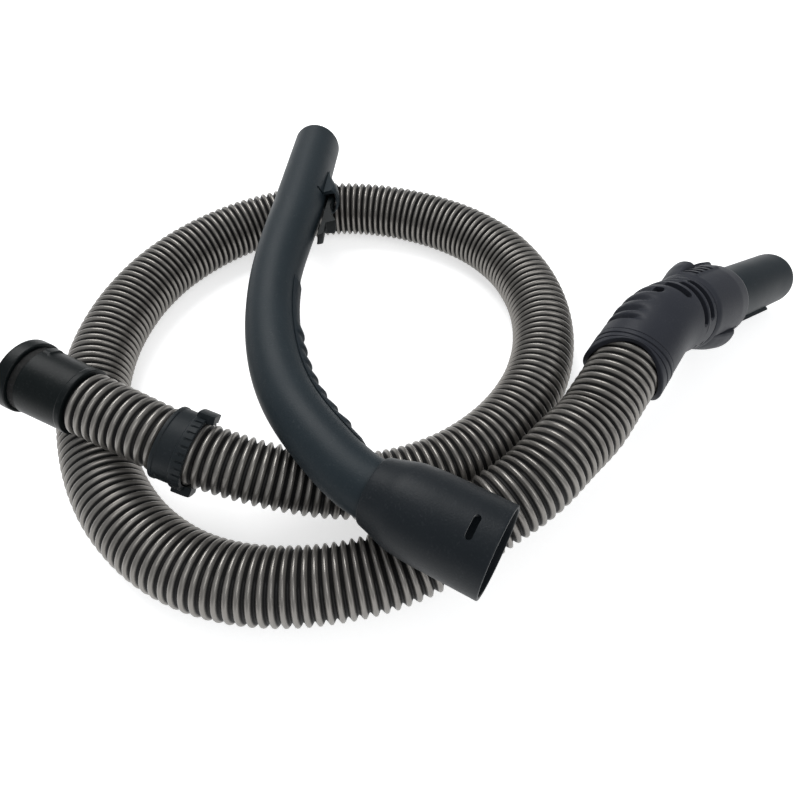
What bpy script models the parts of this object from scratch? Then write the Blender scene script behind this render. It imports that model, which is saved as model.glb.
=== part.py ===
"""Canister vacuum hose: ribbed hose lying in one loop, bent handle on top, snap cuff, bent machine end.

Metres, +Z up, floor at z = 0. The hose runs from the cuff, over its own loop, once round, and to the elbow.
"""

import math

import bmesh
import bpy
import numpy as np
from mathutils import Vector

# ---------------------------------------------------------------- driving sizes

GAP = 0.0003  # between pieces that touch on the real object
RUN = 0.0004  # round a piece that turns
ROUND_SIDES = 28

# where the drawing of the loop puts the object's origin
LAYOUT_CENTRE = (0.0327, 0.0426)

# hose
HOSE_OD = 0.038
HOSE_CUFF_OD = 0.0335  # drawn out thinner where it meets the cuff
HOSE_ELBOW_OD = 0.0395  # bunched thicker where it meets the elbow
THIN_RUN = 0.11  # from the cuff
THIN_BLEND = 0.12
THICK_RUN = 0.08  # from the elbow
THICK_BLEND = 0.09
RIB_PITCH = 0.0066
RIB_DEPTH = 0.0022
HOSE_WALL = 0.0013
BORE_STEP = 0.018
HOSE_SIDES = 8

# cuff
CUFF_OD = 0.036
CUFF_LENGTH = 0.038
CUFF_FLANGE_OD = 0.0386
CUFF_FLANGE = 0.0070
CUFF_NECK = 0.0040
CUFF_NECK_OD = 0.0326
CUFF_BORE = 0.0308

# inserts that hold the hose's ends
INSERT_REACH = 0.028
INSERT_WALL = 0.0013
INSERT_LIP = 0.0024
LIP_PLATE = 0.0028
LIP_THICK = 0.0022

# lock collar
COLLAR_AT = 0.056
COLLAR_LENGTH = 0.016
COLLAR_WALL = 0.0019
COLLAR_CLEAR = 0.0007
COLLAR_RIM = 0.0055
COLLAR_RIM_RISE = 0.0006
COLLAR_TICK = 0.0007
COLLAR_TICKS = 8
LUG_RISE = 0.0022
LUG_REACH = 0.0035
LUG_SPAN = 26.0
SPLIT_ANGLE = -28.0
SPLIT_GAP = 1.5

# machine end
RING_OD = 0.0458
RING_LENGTH = 0.005
RING_HORN = 0.010
RING_SHORT = 0.001
RING_PLUG = 0.004
BARREL_OD = 0.0452
BARREL_END_OD = 0.0446
BARREL_END = 0.0597
BARREL_WALL = 0.0024
BEND_RADIUS = 0.045
RIBS = 6
RIB_FIRST = 0.0185
RIB_STEP = 0.0066
RIB_CUT = 0.0017
SLOT_WIDTH = 0.0026
SLOT_ANGLES = ((104.0, 124.0), (72.0, 122.0), (22.0, 108.0), (28.0, 104.0))
SLOT_AFTER = 2.5  # ribs
RIB_ANGLE = 147.0
RIB_SPREAD = 40.0
LINER_OD = 0.0344
LINER_BORE = 0.0314
HOUSING_OD = 0.0466
HOUSING_LENGTH = 0.040
HOUSING_WALL = 0.0030
HOUSING_FRONT = 0.005
SPIGOT_OD = 0.0355
SPIGOT_TIP_OD = 0.0344
SPIGOT_BORE = 0.0308
SPIGOT_FLANGE = 0.0032
RAIL_HEIGHT = 0.0020
RAIL_WIDTH = 0.0030
RAIL_LENGTH = 0.044
RAIL_START = 0.004
RAIL_ANGLE = -28.0
TAB_START = 0.0035
TAB_LENGTH = 0.0252
TAB_RISES = (0.0066, 0.0050)
TAB_CRESTS = (0.66, 0.76)
TAB_SPANS = (36.0, 56.0)
TAB_ANGLES = (149.0, 329.0)
TAB_SIDE_GAP = 0.0008
TAB_THICK = 0.0022
TAB_NAMES = ("latch_tab_upper", "latch_tab_lower")

# handle
GRIP_OD = 0.0290
WAND_OD = 0.0328
WAND_LENGTH = 0.075
TAPER_LENGTH = 0.110
HANDLE_WALL = 0.0020
TUBE_OVERLAP = 0.012
SOCKET_OD = 0.0430
SOCKET_NECK_OD = 0.0334
SOCKET_BORE = 0.0396
SOCKET_SHOULDER = 0.020
SOCKET_SLOT_BACK = 0.0115
SOCKET_SLOT_WIDTH = 0.0032
SOCKET_SLOT_SPAN = 30.0
SOCKET_SLOT_ANGLES = (78.0, 258.0)
SEAL_WIDTH = 0.003
SEAL_THICK = 0.0018
STRIP_START = 0.158
STRIP_LENGTH = 0.140
STRIP_THICK = 0.0011
STRIP_SPAN = 58.0
STRIP_ANGLE = 180.0
BUMPS = 7
BUMP_PITCH = 0.0126
BUMP_START = 0.0385
BUMP_HEIGHT = 0.0016

# trigger on the handle
HOOD_START = 0.044
HOOD_LENGTH = 0.026
HOOD_RISE = 0.0095
HOOD_WALL = 0.0020
HOOD_SPAN = 51.0
HOOD_ANGLE = 186.0
LEVER_SPAN = 22.0
LEVER_THICK = 0.0030
LEVER_BACK = 0.005
LEVER_LENGTH = 0.047
LEVER_SEAT = 0.0019
HOOK_AT = 0.030
HOOK_RISE = 0.0110
PIN_AT = 0.020
PIN_RISE = 0.0038
PIN_RADIUS = 0.0012
SPRING_WIRE = 0.0008
SPRING_LENGTH = 0.0008

# ---------------------------------------------------------------- the lie of the hose and the handle
# Layout points: x to the right, y away from the viewer, and height above the middle of a hose on the floor.

CUFF_END = (-0.1595, -0.0295, 0.0364)
CUFF_HEADING = (0.908, -0.385, -0.16)
OVER_THE_LOOP = [
    (-0.1095, -0.0497, 0.0264),
    (-0.0765, -0.0582, 0.0182),
    (-0.0510, -0.0608, 0.0108),
    (-0.0330, -0.0610, 0.0068),
    (0.0, -0.0550, 0.0022),
]
LOOP = [
    (0.029, -0.043, 0.0005),
    (0.050, -0.028, 0.0),
    (0.077, 0.006, 0.0),
    (0.088, 0.034, 0.0),
    (0.092, 0.067, 0.0),
    (0.087, 0.100, 0.0),
    (0.073, 0.130, 0.0),
    (0.052, 0.153, 0.0),
    (0.023, 0.171, 0.0),
    (-0.012, 0.183, 0.0),
    (-0.045, 0.186, 0.0),
    (-0.079, 0.180, 0.0),
    (-0.113, 0.165, 0.0),
    (-0.142, 0.142, 0.0),
    (-0.165, 0.112, 0.0),
    (-0.179, 0.077, 0.0),
    (-0.184, 0.040, 0.0),
    (-0.180, 0.003, 0.0),
    (-0.170, -0.028, 0.0),
    (-0.154, -0.058, 0.0),
    (-0.130, -0.085, 0.0),
    (-0.098, -0.104, 0.0),
    (-0.062, -0.111, 0.0),
    (-0.024, -0.108, 0.0),
    (0.005, -0.0995, 0.0012),
]
UP_TO_THE_ELBOW = [
    (0.0362, -0.0828, 0.0072),
    (0.0520, -0.0736, 0.0118),
    (0.0675, -0.0630, 0.0150),
    (0.0850, -0.0460, 0.0178),
]
ELBOW_END = (0.1278, 0.0059, 0.0255)
ELBOW_HEADING = (0.585, 0.795, 0.15)
APEX_AT = 0.033
SPIGOT_REACH = 0.1380  # from the bend's corner to the tip, which lies on the floor
SPIGOT_HEADING = (0.819, 0.573)

HANDLE_LINE = [
    (-0.0681, 0.1397, 0.0366),
    (-0.0744, 0.0715, 0.0378),
    (-0.0711, 0.0195, 0.0390),
    (-0.0554, -0.0303, 0.0404),
    (-0.0345, -0.0610, 0.0416),
    (-0.0110, -0.0835, 0.0426),
]
WAND_HEADING = (-0.076, -1.0, 0.016)
WAND_REACH = 0.0761  # of the straight thin end, before the first of these points
SOCKET_MOUTH = (0.0410, -0.1132, 0.0440)

FLOOR_LIFT = HOSE_OD / 2 + GAP


# ---------------------------------------------------------------- lines


def placed(point):
    """A layout point in the object's own frame."""
    x, y, rise = point
    return np.array([x - LAYOUT_CENTRE[0], y - LAYOUT_CENTRE[1], FLOOR_LIFT + rise])


def unit(vector):
    vector = np.array(vector, float)
    return vector / np.linalg.norm(vector)


def spline(points, start_heading, end_heading, step=0.001):
    """A smooth line through the points: cubic pieces with equal slopes where they meet, and both ends aimed."""
    points = np.array(points)
    spans = np.linalg.norm(np.diff(points, axis=0), axis=1)
    count = len(points)
    system = np.zeros((count, count))
    wanted = np.zeros((count, 3))
    system[0, 0] = system[-1, -1] = 1.0
    wanted[0], wanted[-1] = unit(start_heading), unit(end_heading)
    for i in range(1, count - 1):
        before, after = spans[i - 1], spans[i]
        system[i, i - 1 : i + 2] = after, 2 * (before + after), before
        rise = (points[i] - points[i - 1]) * after / before + (points[i + 1] - points[i]) * before / after
        wanted[i] = 3 * rise
    slopes = np.linalg.solve(system, wanted)
    pieces = []
    for i, span in enumerate(spans):
        t = np.linspace(0, 1, max(2, round(span / step)), endpoint=False)[:, None]
        pieces.append(
            (2 * t**3 - 3 * t**2 + 1) * points[i]
            + (t**3 - 2 * t**2 + t) * span * slopes[i]
            + (3 * t**2 - 2 * t**3) * points[i + 1]
            + (t**3 - t**2) * span * slopes[i + 1]
        )
    return np.vstack(pieces + [points[-1:]])


class Line:
    """A line in space that is read by the distance along it, also a little way past its ends."""

    def __init__(self, points):
        self.points = np.array(points)
        steps = np.linalg.norm(np.diff(self.points, axis=0), axis=1)
        self.marks = np.concatenate([[0.0], np.cumsum(steps)])
        self.length = self.marks[-1]

    def at(self, s):
        s = np.atleast_1d(np.array(s, float))
        inside = np.clip(s, 0.0, self.length)
        return self.read(inside) + (s - inside)[:, None] * self.heading(inside)

    def read(self, s):
        return np.stack([np.interp(s, self.marks, self.points[:, k]) for k in range(3)], axis=1)

    def heading(self, s):
        s = np.atleast_1d(np.array(s, float))
        low = np.clip(s - 0.0005, 0.0, self.length - 0.001)
        aim = self.read(low + 0.001) - self.read(low)
        return aim / np.linalg.norm(aim, axis=1, keepdims=True)

    def axes(self, s):
        """(middle, side, top, heading): side lies level, to the right of the heading."""
        aim = self.heading(s)
        side = np.cross(aim, [0.0, 0.0, 1.0])
        side /= np.linalg.norm(side, axis=1, keepdims=True)
        return self.at(s), side, np.cross(side, aim), aim

    def on_surface(self, s, radius, degrees):
        """The point at that distance, radius and angle; 0 degrees is the side, 90 the top."""
        middle, side, top, _ = (row[0] for row in self.axes(s))
        turn = math.radians(degrees)
        return middle + radius * (math.cos(turn) * side + math.sin(turn) * top)

    def ring(self, s, radius, angles):
        """Points round the line; s and radius are numbers or arrays as long as angles."""
        s = np.broadcast_to(np.array(s, float), angles.shape)
        middle, side, top, _ = self.axes(s)
        turned = np.cos(angles)[:, None] * side + np.sin(angles)[:, None] * top
        return middle + np.broadcast_to(radius, angles.shape)[:, None] * turned


def straight(start, heading, length):
    return Line([start, start + unit(heading) * length])


def rounded_corner(start, corner, end, radius):
    """Start to end by way of a corner that is rounded to a radius."""
    into, out = unit(corner - start), unit(end - corner)
    turn = math.acos(float(into @ out))
    back = radius * math.tan(turn / 2)
    first = corner - into * back
    inward = unit(out - into * (into @ out))
    centre = first + inward * radius
    sweep = np.linspace(0, turn, 25)[:, None]
    arc = centre + radius * (np.sin(sweep) * into - np.cos(sweep) * inward)
    return Line(np.vstack([start, arc, end]))


# ---------------------------------------------------------------- pieces


def plastic(name, colour, roughness, metallic=0.0):
    material = bpy.data.materials.new(name)
    material.use_nodes = True
    shader = material.node_tree.nodes["Principled BSDF"]
    shader.inputs["Base Color"].default_value = (*colour, 1.0)
    shader.inputs["Roughness"].default_value = roughness
    shader.inputs["Metallic"].default_value = metallic
    material.diffuse_color = (*colour, 1.0)
    return material


def keep(name, mesh, material, origin=None, smooth=35.0):
    """Puts a mesh in the scene as an object whose origin is where it turns or seats."""
    obj = bpy.data.objects.new(name, mesh)
    bpy.context.scene.collection.objects.link(obj)
    if origin is not None:
        shift = Vector(origin)
        for vertex in mesh.vertices:
            vertex.co -= shift
        obj.location = shift
    if material:
        mesh.materials.append(material)
    mesh.shade_smooth()
    mesh.set_sharp_from_angle(angle=math.radians(smooth))
    return obj


def swept(name, line, section, material=None, sides=24, span=None, origin=None):
    """A closed section of (s, radius) corners carried round a line, all the way or over a span of degrees.

    A corner's s or radius may be a function of the angles in degrees.
    """
    if span is None:
        angles = np.linspace(0, 2 * math.pi, sides, endpoint=False)
    else:
        angles = np.linspace(math.radians(span[0]), math.radians(span[1]), sides + 1)
    degrees = np.degrees(angles)
    shape = bmesh.new()
    rows = []
    for s, radius in section:
        s = s(degrees) if callable(s) else s
        radius = radius(degrees) if callable(radius) else radius
        rows.append([shape.verts.new(point) for point in line.ring(s, radius, angles)])
    count = len(angles) if span is None else len(angles) - 1
    for row, after in zip(rows, rows[1:] + rows[:1]):
        for i in range(count):
            j = (i + 1) % len(angles)
            shape.faces.new((row[i], row[j], after[j], after[i]))
    if span is not None:
        shape.faces.new([row[0] for row in rows])
        shape.faces.new([row[-1] for row in rows])
    bmesh.ops.recalc_face_normals(shape, faces=shape.faces)
    bmesh.ops.triangulate(shape, faces=[face for face in shape.faces if len(face.verts) > 4])
    mesh = bpy.data.meshes.new(name)
    shape.to_mesh(mesh)
    shape.free()
    return keep(name, mesh, material, origin)


def curve_tube(name, points, radii):
    """A tube as a mesh: a bevelled curve of straight runs, filled ends, and its own radius at each point."""
    curve = bpy.data.curves.new(name, "CURVE")
    curve.dimensions = "3D"
    curve.twist_mode = "Z_UP"
    curve.bevel_depth = 1.0
    curve.bevel_resolution = (HOSE_SIDES - 4) // 2
    curve.use_fill_caps = True
    line = curve.splines.new("POLY")
    line.points.add(len(points) - 1)
    line.points.foreach_set("co", np.column_stack([points, np.ones(len(points))]).ravel())
    line.points.foreach_set("radius", np.array(radii, np.float32))
    holder = bpy.data.objects.new(name, curve)
    bpy.context.scene.collection.objects.link(holder)
    graph = bpy.context.evaluated_depsgraph_get()
    mesh = bpy.data.meshes.new_from_object(holder.evaluated_get(graph))
    bpy.data.objects.remove(holder)
    mesh.name = name
    shape = bmesh.new()
    shape.from_mesh(mesh)
    bmesh.ops.remove_doubles(shape, verts=shape.verts, dist=1e-6)
    bmesh.ops.recalc_face_normals(shape, faces=shape.faces)
    shape.to_mesh(mesh)
    shape.free()
    return mesh


def pin_mesh(name, middle, aim, length, radius, sides=16):
    """A plain round pin, as a mesh in the object's own frame."""
    shape = bmesh.new()
    turn = Vector(aim).to_track_quat("Z", "Y").to_matrix().to_4x4()
    turn.translation = Vector(middle)
    bmesh.ops.create_cone(
        shape, cap_ends=True, segments=sides, radius1=radius, radius2=radius, depth=length, matrix=turn
    )
    mesh = bpy.data.meshes.new(name)
    shape.to_mesh(mesh)
    shape.free()
    return mesh


def helper(obj):
    obj.hide_render = True
    obj.display_type = "WIRE"
    return obj


def combine(obj, other, operation):
    helper(other)
    change = obj.modifiers.new(f"{operation.lower()} {other.name}", "BOOLEAN")
    change.operation = operation
    change.object = other
    change.solver = "EXACT"


def cut(obj, other):
    combine(obj, other, "DIFFERENCE")


def join(obj, other):
    combine(obj, other, "UNION")


# ---------------------------------------------------------------- the hose


def blend(s, start, end):
    """0 before start, 1 after end, and a smooth rise between."""
    t = np.clip((np.array(s, float) - start) / (end - start), 0.0, 1.0)
    return t * t * (3 - 2 * t)


def hose_radius(s, length):
    """Half the diameter over the ribs."""
    thin = 1 - blend(s, THIN_RUN, THIN_RUN + THIN_BLEND)
    thick = blend(s, length - THICK_RUN - THICK_BLEND, length - THICK_RUN)
    return (HOSE_OD + thin * (HOSE_CUFF_OD - HOSE_OD) + thick * (HOSE_ELBOW_OD - HOSE_OD)) / 2


def hose_line():
    """The hose's middle, straight for one diameter at each end."""
    start, aim = placed(CUFF_END), unit(CUFF_HEADING)
    end, end_aim = placed(ELBOW_END), unit(ELBOW_HEADING)
    first = start + aim * HOSE_CUFF_OD
    last = end - end_aim * HOSE_ELBOW_OD
    between = [placed(point) for point in OVER_THE_LOOP + LOOP + UP_TO_THE_ELBOW]
    free = spline([first, *between, last], aim, end_aim)
    return Line(np.vstack([start, free, end]))


def bore_radius(s, length):
    return hose_radius(s, length) - RIB_DEPTH - HOSE_WALL


def insert_radius(s, length):
    """What passes through the bore's flat sides with a gap."""
    return bore_radius(s, length) * math.cos(math.pi / HOSE_SIDES) - GAP


def make_hose(line, material):
    ribs = round(line.length / RIB_PITCH)
    marks = np.linspace(0, line.length, 2 * ribs + 1)
    radii = hose_radius(marks, line.length)
    radii[1::2] -= RIB_DEPTH
    outside = curve_tube("hose", line.at(marks), radii)
    hose = keep("hose", outside, material, smooth=60.0)
    steps = round(line.length / BORE_STEP)
    past = 0.004
    marks = np.concatenate([[-past], np.linspace(0, line.length, steps + 1), [line.length + past]])
    inside = curve_tube("hose_bore", line.at(marks), bore_radius(marks, line.length))
    cut(hose, keep("hose_bore", inside, None))
    return ribs


def least_gap(line):
    """The least gap between two stretches of the hose that aren't neighbours, and where along it they lie."""
    marks = np.arange(0, line.length, 0.003)
    points = line.at(marks)
    radii = hose_radius(marks, line.length)
    apart = np.linalg.norm(points[:, None] - points[None], axis=2) - radii[:, None] - radii[None]
    apart[np.abs(marks[:, None] - marks[None]) < 3 * HOSE_OD] = 1.0
    low = np.unravel_index(apart.argmin(), apart.shape)
    return float(apart.min()), marks[low[0]], marks[low[1]]


def tightest_bend(line):
    marks = np.arange(0.01, line.length - 0.01, 0.005)
    turn = np.linalg.norm(line.heading(marks + 0.005) - line.heading(marks - 0.005), axis=1)
    return float(0.01 / turn.max())


def make_insert(name, line, inner, material):
    """A sleeve in the hose's end with a lip that the fitting turns on. The line leaves the hose at s = 0."""
    bore = inner - INSERT_WALL
    lip = inner + INSERT_LIP
    start = GAP + LIP_PLATE + GAP
    section = [
        (-INSERT_REACH, bore),
        (-INSERT_REACH, inner),
        (start, inner),
        (start, lip),
        (start + LIP_THICK, lip),
        (start + LIP_THICK, bore),
    ]
    return swept(name, line, section, material, 24, origin=line.at(0)[0])


# ---------------------------------------------------------------- the cuff


def make_cuff(line, inner, materials):
    outer, neck, flange, bore = (size / 2 for size in (CUFF_OD, CUFF_NECK_OD, CUFF_FLANGE_OD, CUFF_BORE))
    shoulder = CUFF_LENGTH - CUFF_FLANGE - CUFF_NECK
    edge = 0.0006
    section = [
        (GAP, outer - edge),
        (GAP + edge, outer),
        (shoulder - edge, outer),
        (shoulder, outer - edge),
        (shoulder, neck),
        (CUFF_LENGTH - CUFF_FLANGE, neck),
        (CUFF_LENGTH - CUFF_FLANGE, flange - edge),
        (CUFF_LENGTH - CUFF_FLANGE + edge, flange),
        (CUFF_LENGTH - edge, flange),
        (CUFF_LENGTH, flange - edge),
        (CUFF_LENGTH, bore),
        (GAP + LIP_PLATE, bore),
        (GAP + LIP_PLATE, inner + RUN),
        (GAP, inner + RUN),
    ]
    swept("cuff_body", line, section, materials["black"], ROUND_SIDES, origin=line.at(0)[0])
    start, end = shoulder + GAP, CUFF_LENGTH - CUFF_FLANGE - GAP
    low = neck + GAP
    ring = [(start, low), (start, low + 0.0009), (end, low + 0.0009), (end, low)]
    swept("cuff_seal", line, ring, materials["rubber"], 24, origin=line.at(0)[0])


# ---------------------------------------------------------------- the lock collar


def make_collar(line, radius, material):
    """Two half rings with ticked rims; each carries a snap lug at its end."""
    middle = line.at(COLLAR_AT)[0]
    low = radius + COLLAR_CLEAR
    high = low + COLLAR_WALL
    back, front = COLLAR_AT - COLLAR_LENGTH / 2, COLLAR_AT + COLLAR_LENGTH / 2
    sides = 4 * COLLAR_TICKS
    for name, turn in (("lock_collar_front", 0.0), ("lock_collar_back", 180.0)):
        first = SPLIT_ANGLE + turn + SPLIT_GAP
        last = SPLIT_ANGLE + turn + 180.0 - SPLIT_GAP

        def lugged(degrees, last=last):
            return degrees > last - LUG_SPAN

        def rim_radius(degrees, first=first, lugged=lugged):
            place = np.floor((degrees - first) / (180.0 / sides) + 0.01).astype(int)
            tick = (place % 4 < 2) * COLLAR_TICK
            return high + COLLAR_RIM_RISE + np.where(lugged(degrees), LUG_RISE, tick)

        def rim_end(degrees, lugged=lugged):
            return front + np.where(lugged(degrees), LUG_REACH, 0.0)

        section = [
            (back, low),
            (back, high - 0.0004),
            (back + 0.0004, high),
            (front - COLLAR_RIM, high),
            (front - COLLAR_RIM, rim_radius),
            (rim_end, rim_radius),
            (rim_end, low),
        ]
        swept(name, line, section, material, sides, (first, last), middle)


# ---------------------------------------------------------------- the machine end


def elbow_line():
    """From the hose's end, round the bend, down to the tip, whose lower edge lies on the floor."""
    start = placed(ELBOW_END)
    corner = start + unit(ELBOW_HEADING) * APEX_AT
    level = unit(SPIGOT_HEADING)
    rise = SPIGOT_TIP_OD / 2
    for _ in range(4):
        drop = corner[2] - rise
        run = math.sqrt(SPIGOT_REACH**2 - drop**2)
        rise = SPIGOT_TIP_OD / 2 * run / SPIGOT_REACH
    tip = np.array([corner[0] + level[0] * run, corner[1] + level[1] * run, rise])
    return rounded_corner(start, corner, tip, BEND_RADIUS)


def mouth_of_ring(degrees):
    """The ring reaches furthest along the hose at both sides and least at its top and bottom."""
    side = np.cos(np.radians(degrees)) ** 2
    return -(RING_SHORT + (RING_HORN - RING_SHORT) * side)


def make_ring(line, inner, hose_outer, material):
    outer, plug = RING_OD / 2, BARREL_OD / 2 - BARREL_WALL
    clear = hose_outer + RUN
    lip = inner + INSERT_LIP + RUN
    section = [
        (mouth_of_ring, clear),
        (mouth_of_ring, outer - 0.0006),
        (lambda degrees: mouth_of_ring(degrees) + 0.0006, outer),
        (RING_LENGTH, outer),
        (RING_LENGTH, plug),
        (RING_LENGTH + RING_PLUG, plug),
        (RING_LENGTH + RING_PLUG, lip),
        (GAP + LIP_PLATE, lip),
        (GAP + LIP_PLATE, inner + RUN),
        (GAP, inner + RUN),
        (GAP, clear),
    ]
    swept("elbow_ring", line, section, material, ROUND_SIDES, origin=line.at(0)[0])


def make_washer(line, inner, material):
    """The slip washer between the insert's lip and the liner."""
    start = GAP + LIP_PLATE + GAP + LIP_THICK + GAP
    end = RING_LENGTH + RING_PLUG
    outer = inner + INSERT_LIP
    section = [(start, inner - 0.0004), (start, outer), (end, outer), (end, inner - 0.0004)]
    swept("swivel_washer", line, section, material, 24, origin=line.at(0)[0])


def make_barrel(line, material):
    """The bent barrel: ribs on the outside of its bend, air slots over its top."""
    outer, end_outer = BARREL_OD / 2, BARREL_END_OD / 2
    inner = outer - BARREL_WALL - GAP
    start = RING_LENGTH + GAP

    def shell(s):
        return outer + (end_outer - outer) * (s - start) / (BARREL_END - start)

    def grooved(s):
        def radius(degrees):
            near = np.clip(1.6 - np.abs(degrees - RIB_ANGLE) / RIB_SPREAD, 0, 1)
            return shell(s) - RIB_CUT * near

        return radius

    section = [(start, outer + GAP), (start, shell(start))]
    for i in range(RIBS):
        crest = RIB_FIRST + i * RIB_STEP
        section += [(crest - RIB_STEP / 2, grooved(crest)), (crest, shell(crest))]
    last = RIB_FIRST + (RIBS - 0.5) * RIB_STEP
    section += [(last, grooved(last)), (BARREL_END, end_outer)]
    plug_end = RING_LENGTH + RING_PLUG + GAP
    step = outer - BARREL_WALL + GAP
    lining = outer - BARREL_WALL - 0.0007
    inside = [BARREL_END, 0.050, 0.042, 0.034, 0.026, 0.018, plug_end]
    section += [(s, lining) for s in inside]
    section += [(plug_end, step)]
    section[0] = (start, step)
    barrel = swept("elbow_barrel", line, section, material, ROUND_SIDES, origin=line.at(0)[0])
    for i, span in enumerate(SLOT_ANGLES):
        s = RIB_FIRST + (SLOT_AFTER + i) * RIB_STEP
        back, front, low, high = s - SLOT_WIDTH / 2, s + SLOT_WIDTH / 2, inner - 0.003, outer + 0.003
        block = [(back, low), (back, high), (front, high), (front, low)]
        cut(barrel, swept(f"air_slot_{i + 1}", line, block, None, 8, span))


def make_liner(line, material):
    """The smooth duct inside the barrel, with a flange at each end that centres it."""
    outer, bore = LINER_OD / 2, LINER_BORE / 2
    start = RING_LENGTH + RING_PLUG + GAP
    end = BARREL_END + GAP + HOUSING_LENGTH - HOUSING_FRONT - GAP - SPIGOT_FLANGE - GAP
    front_flange = BARREL_OD / 2 - BARREL_WALL - 0.0007 - GAP
    back_flange = HOUSING_OD / 2 - HOUSING_WALL - GAP
    bends = [0.018, 0.026, 0.034, 0.042, 0.050]
    section = [(start, bore), (start, front_flange), (start + 0.002, front_flange), (start + 0.002, outer)]
    section += [(s, outer) for s in bends]
    section += [(end - 0.002, outer), (end - 0.002, back_flange), (end, back_flange), (end, bore)]
    section += [(s, bore) for s in reversed(bends)]
    swept("elbow_liner", line, section, material, 24, origin=line.at(0)[0])


def tab_window(line, name, angle, span):
    """The window that a latch tab moves in."""
    start = BARREL_END + GAP + TAB_START - RUN
    end = start + TAB_LENGTH + 2 * RUN
    half = span / 2 + math.degrees(TAB_SIDE_GAP / (HOUSING_OD / 2))
    low, high = HOUSING_OD / 2 - HOUSING_WALL - 0.002, HOUSING_OD / 2 + 0.003
    block = [(start, low), (start, high), (end, high), (end, low)]
    return swept(name, line, block, None, 8, (angle - half, angle + half))


def make_housing(line, material):
    outer, inner = HOUSING_OD / 2, HOUSING_OD / 2 - HOUSING_WALL
    start = BARREL_END + GAP
    end = start + HOUSING_LENGTH
    hole = SPIGOT_OD / 2 + GAP
    section = [
        (start, inner),
        (start, outer - 0.0011),
        (start + 0.003, outer),
        (end - 0.012, outer),
        (end - 0.004, outer - 0.0007),
        (end, outer - 0.0026),
        (end, hole),
        (end - HOUSING_FRONT, hole),
        (end - HOUSING_FRONT, inner),
    ]
    housing = swept("elbow_housing", line, section, material, ROUND_SIDES, origin=line.at(0)[0])
    for i, (angle, tab_span) in enumerate(zip(TAB_ANGLES, TAB_SPANS)):
        cut(housing, tab_window(line, f"tab_window_{i + 1}", angle, tab_span))


def make_tab(name, line, angle, span, rise, crest, material):
    """A latch tab: a curved plate that climbs to a raised finger edge."""
    low = HOUSING_OD / 2 - TAB_THICK
    top = HOUSING_OD / 2
    start = BARREL_END + GAP + TAB_START
    end = start + TAB_LENGTH

    def bulged(height):
        def radius(degrees):
            return top + height * (1 - 0.45 * ((degrees - angle) / (span / 2)) ** 2)

        return radius

    section = [
        (start, low),
        (start, top - 0.0008),
        (start + 0.2 * crest * TAB_LENGTH, bulged(0.24 * rise)),
        (start + 0.6 * crest * TAB_LENGTH, bulged(0.76 * rise)),
        (start + crest * TAB_LENGTH, bulged(rise)),
        (start + (crest + 0.05) * TAB_LENGTH, bulged(0.86 * rise)),
        (start + (crest + 0.10) * TAB_LENGTH, bulged(0.35 * rise)),
        (end, bulged(0.12 * rise)),
        (end, low),
    ]
    half = span / 2
    origin = line.on_surface(start, low, angle)
    return swept(name, line, section, material, 8, (angle - half, angle + half), origin)


def make_spigot(line, material):
    start = BARREL_END + GAP + HOUSING_LENGTH - HOUSING_FRONT - GAP - SPIGOT_FLANGE
    end = line.length
    outer, tip, bore = SPIGOT_OD / 2, SPIGOT_TIP_OD / 2, SPIGOT_BORE / 2
    flange = HOUSING_OD / 2 - HOUSING_WALL - GAP
    section = [
        (start, bore),
        (start, flange),
        (start + SPIGOT_FLANGE, flange),
        (start + SPIGOT_FLANGE, outer),
        (end - 0.0006, tip),
        (end, tip - 0.0003),
        (end, bore),
    ]
    spigot = swept("machine_spigot", line, section, material, ROUND_SIDES, origin=line.at(0)[0])
    front = BARREL_END + GAP + HOUSING_LENGTH + RAIL_START
    half = math.degrees(RAIL_WIDTH / SPIGOT_OD)
    high = SPIGOT_OD / 2 + RAIL_HEIGHT
    low = SPIGOT_TIP_OD / 2 - 0.0008
    block = [(front, low), (front, high), (front + RAIL_LENGTH, high), (front + RAIL_LENGTH, low)]
    join(spigot, swept("spigot_rail", line, block, None, 2, (RAIL_ANGLE - half, RAIL_ANGLE + half)))


# ---------------------------------------------------------------- the handle


def handle_line():
    points = [placed(point) for point in HANDLE_LINE]
    mouth = placed(SOCKET_MOUTH)
    aim = unit(mouth - points[-1])
    bend = spline(points, WAND_HEADING, aim)
    line = Line(np.vstack([points[0] - unit(WAND_HEADING) * WAND_REACH, bend, mouth]))
    return line, line.length - float(np.linalg.norm(mouth - points[-1]))


def tube_radius(s):
    """Half the handle tube's outside: the wand end, a long taper, then the grip."""
    narrow = blend(s, WAND_LENGTH, WAND_LENGTH + TAPER_LENGTH)
    return (WAND_OD + (GRIP_OD - WAND_OD) * narrow) / 2


def make_handle_tube(line, socket_start, material):
    end = socket_start + TUBE_OVERLAP
    marks = np.concatenate([[0.0008], np.linspace(0, end, 23)[1:-1], [end]])
    outside = [(0.0, tube_radius(0.0) - 0.0006)] + [(s, tube_radius(s)) for s in marks]
    inside = [(s, tube_radius(s) - HANDLE_WALL) for s in np.linspace(end, 0, 14)]
    return swept("handle_tube", line, outside + inside, material, 22, origin=line.at(0)[0])


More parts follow.
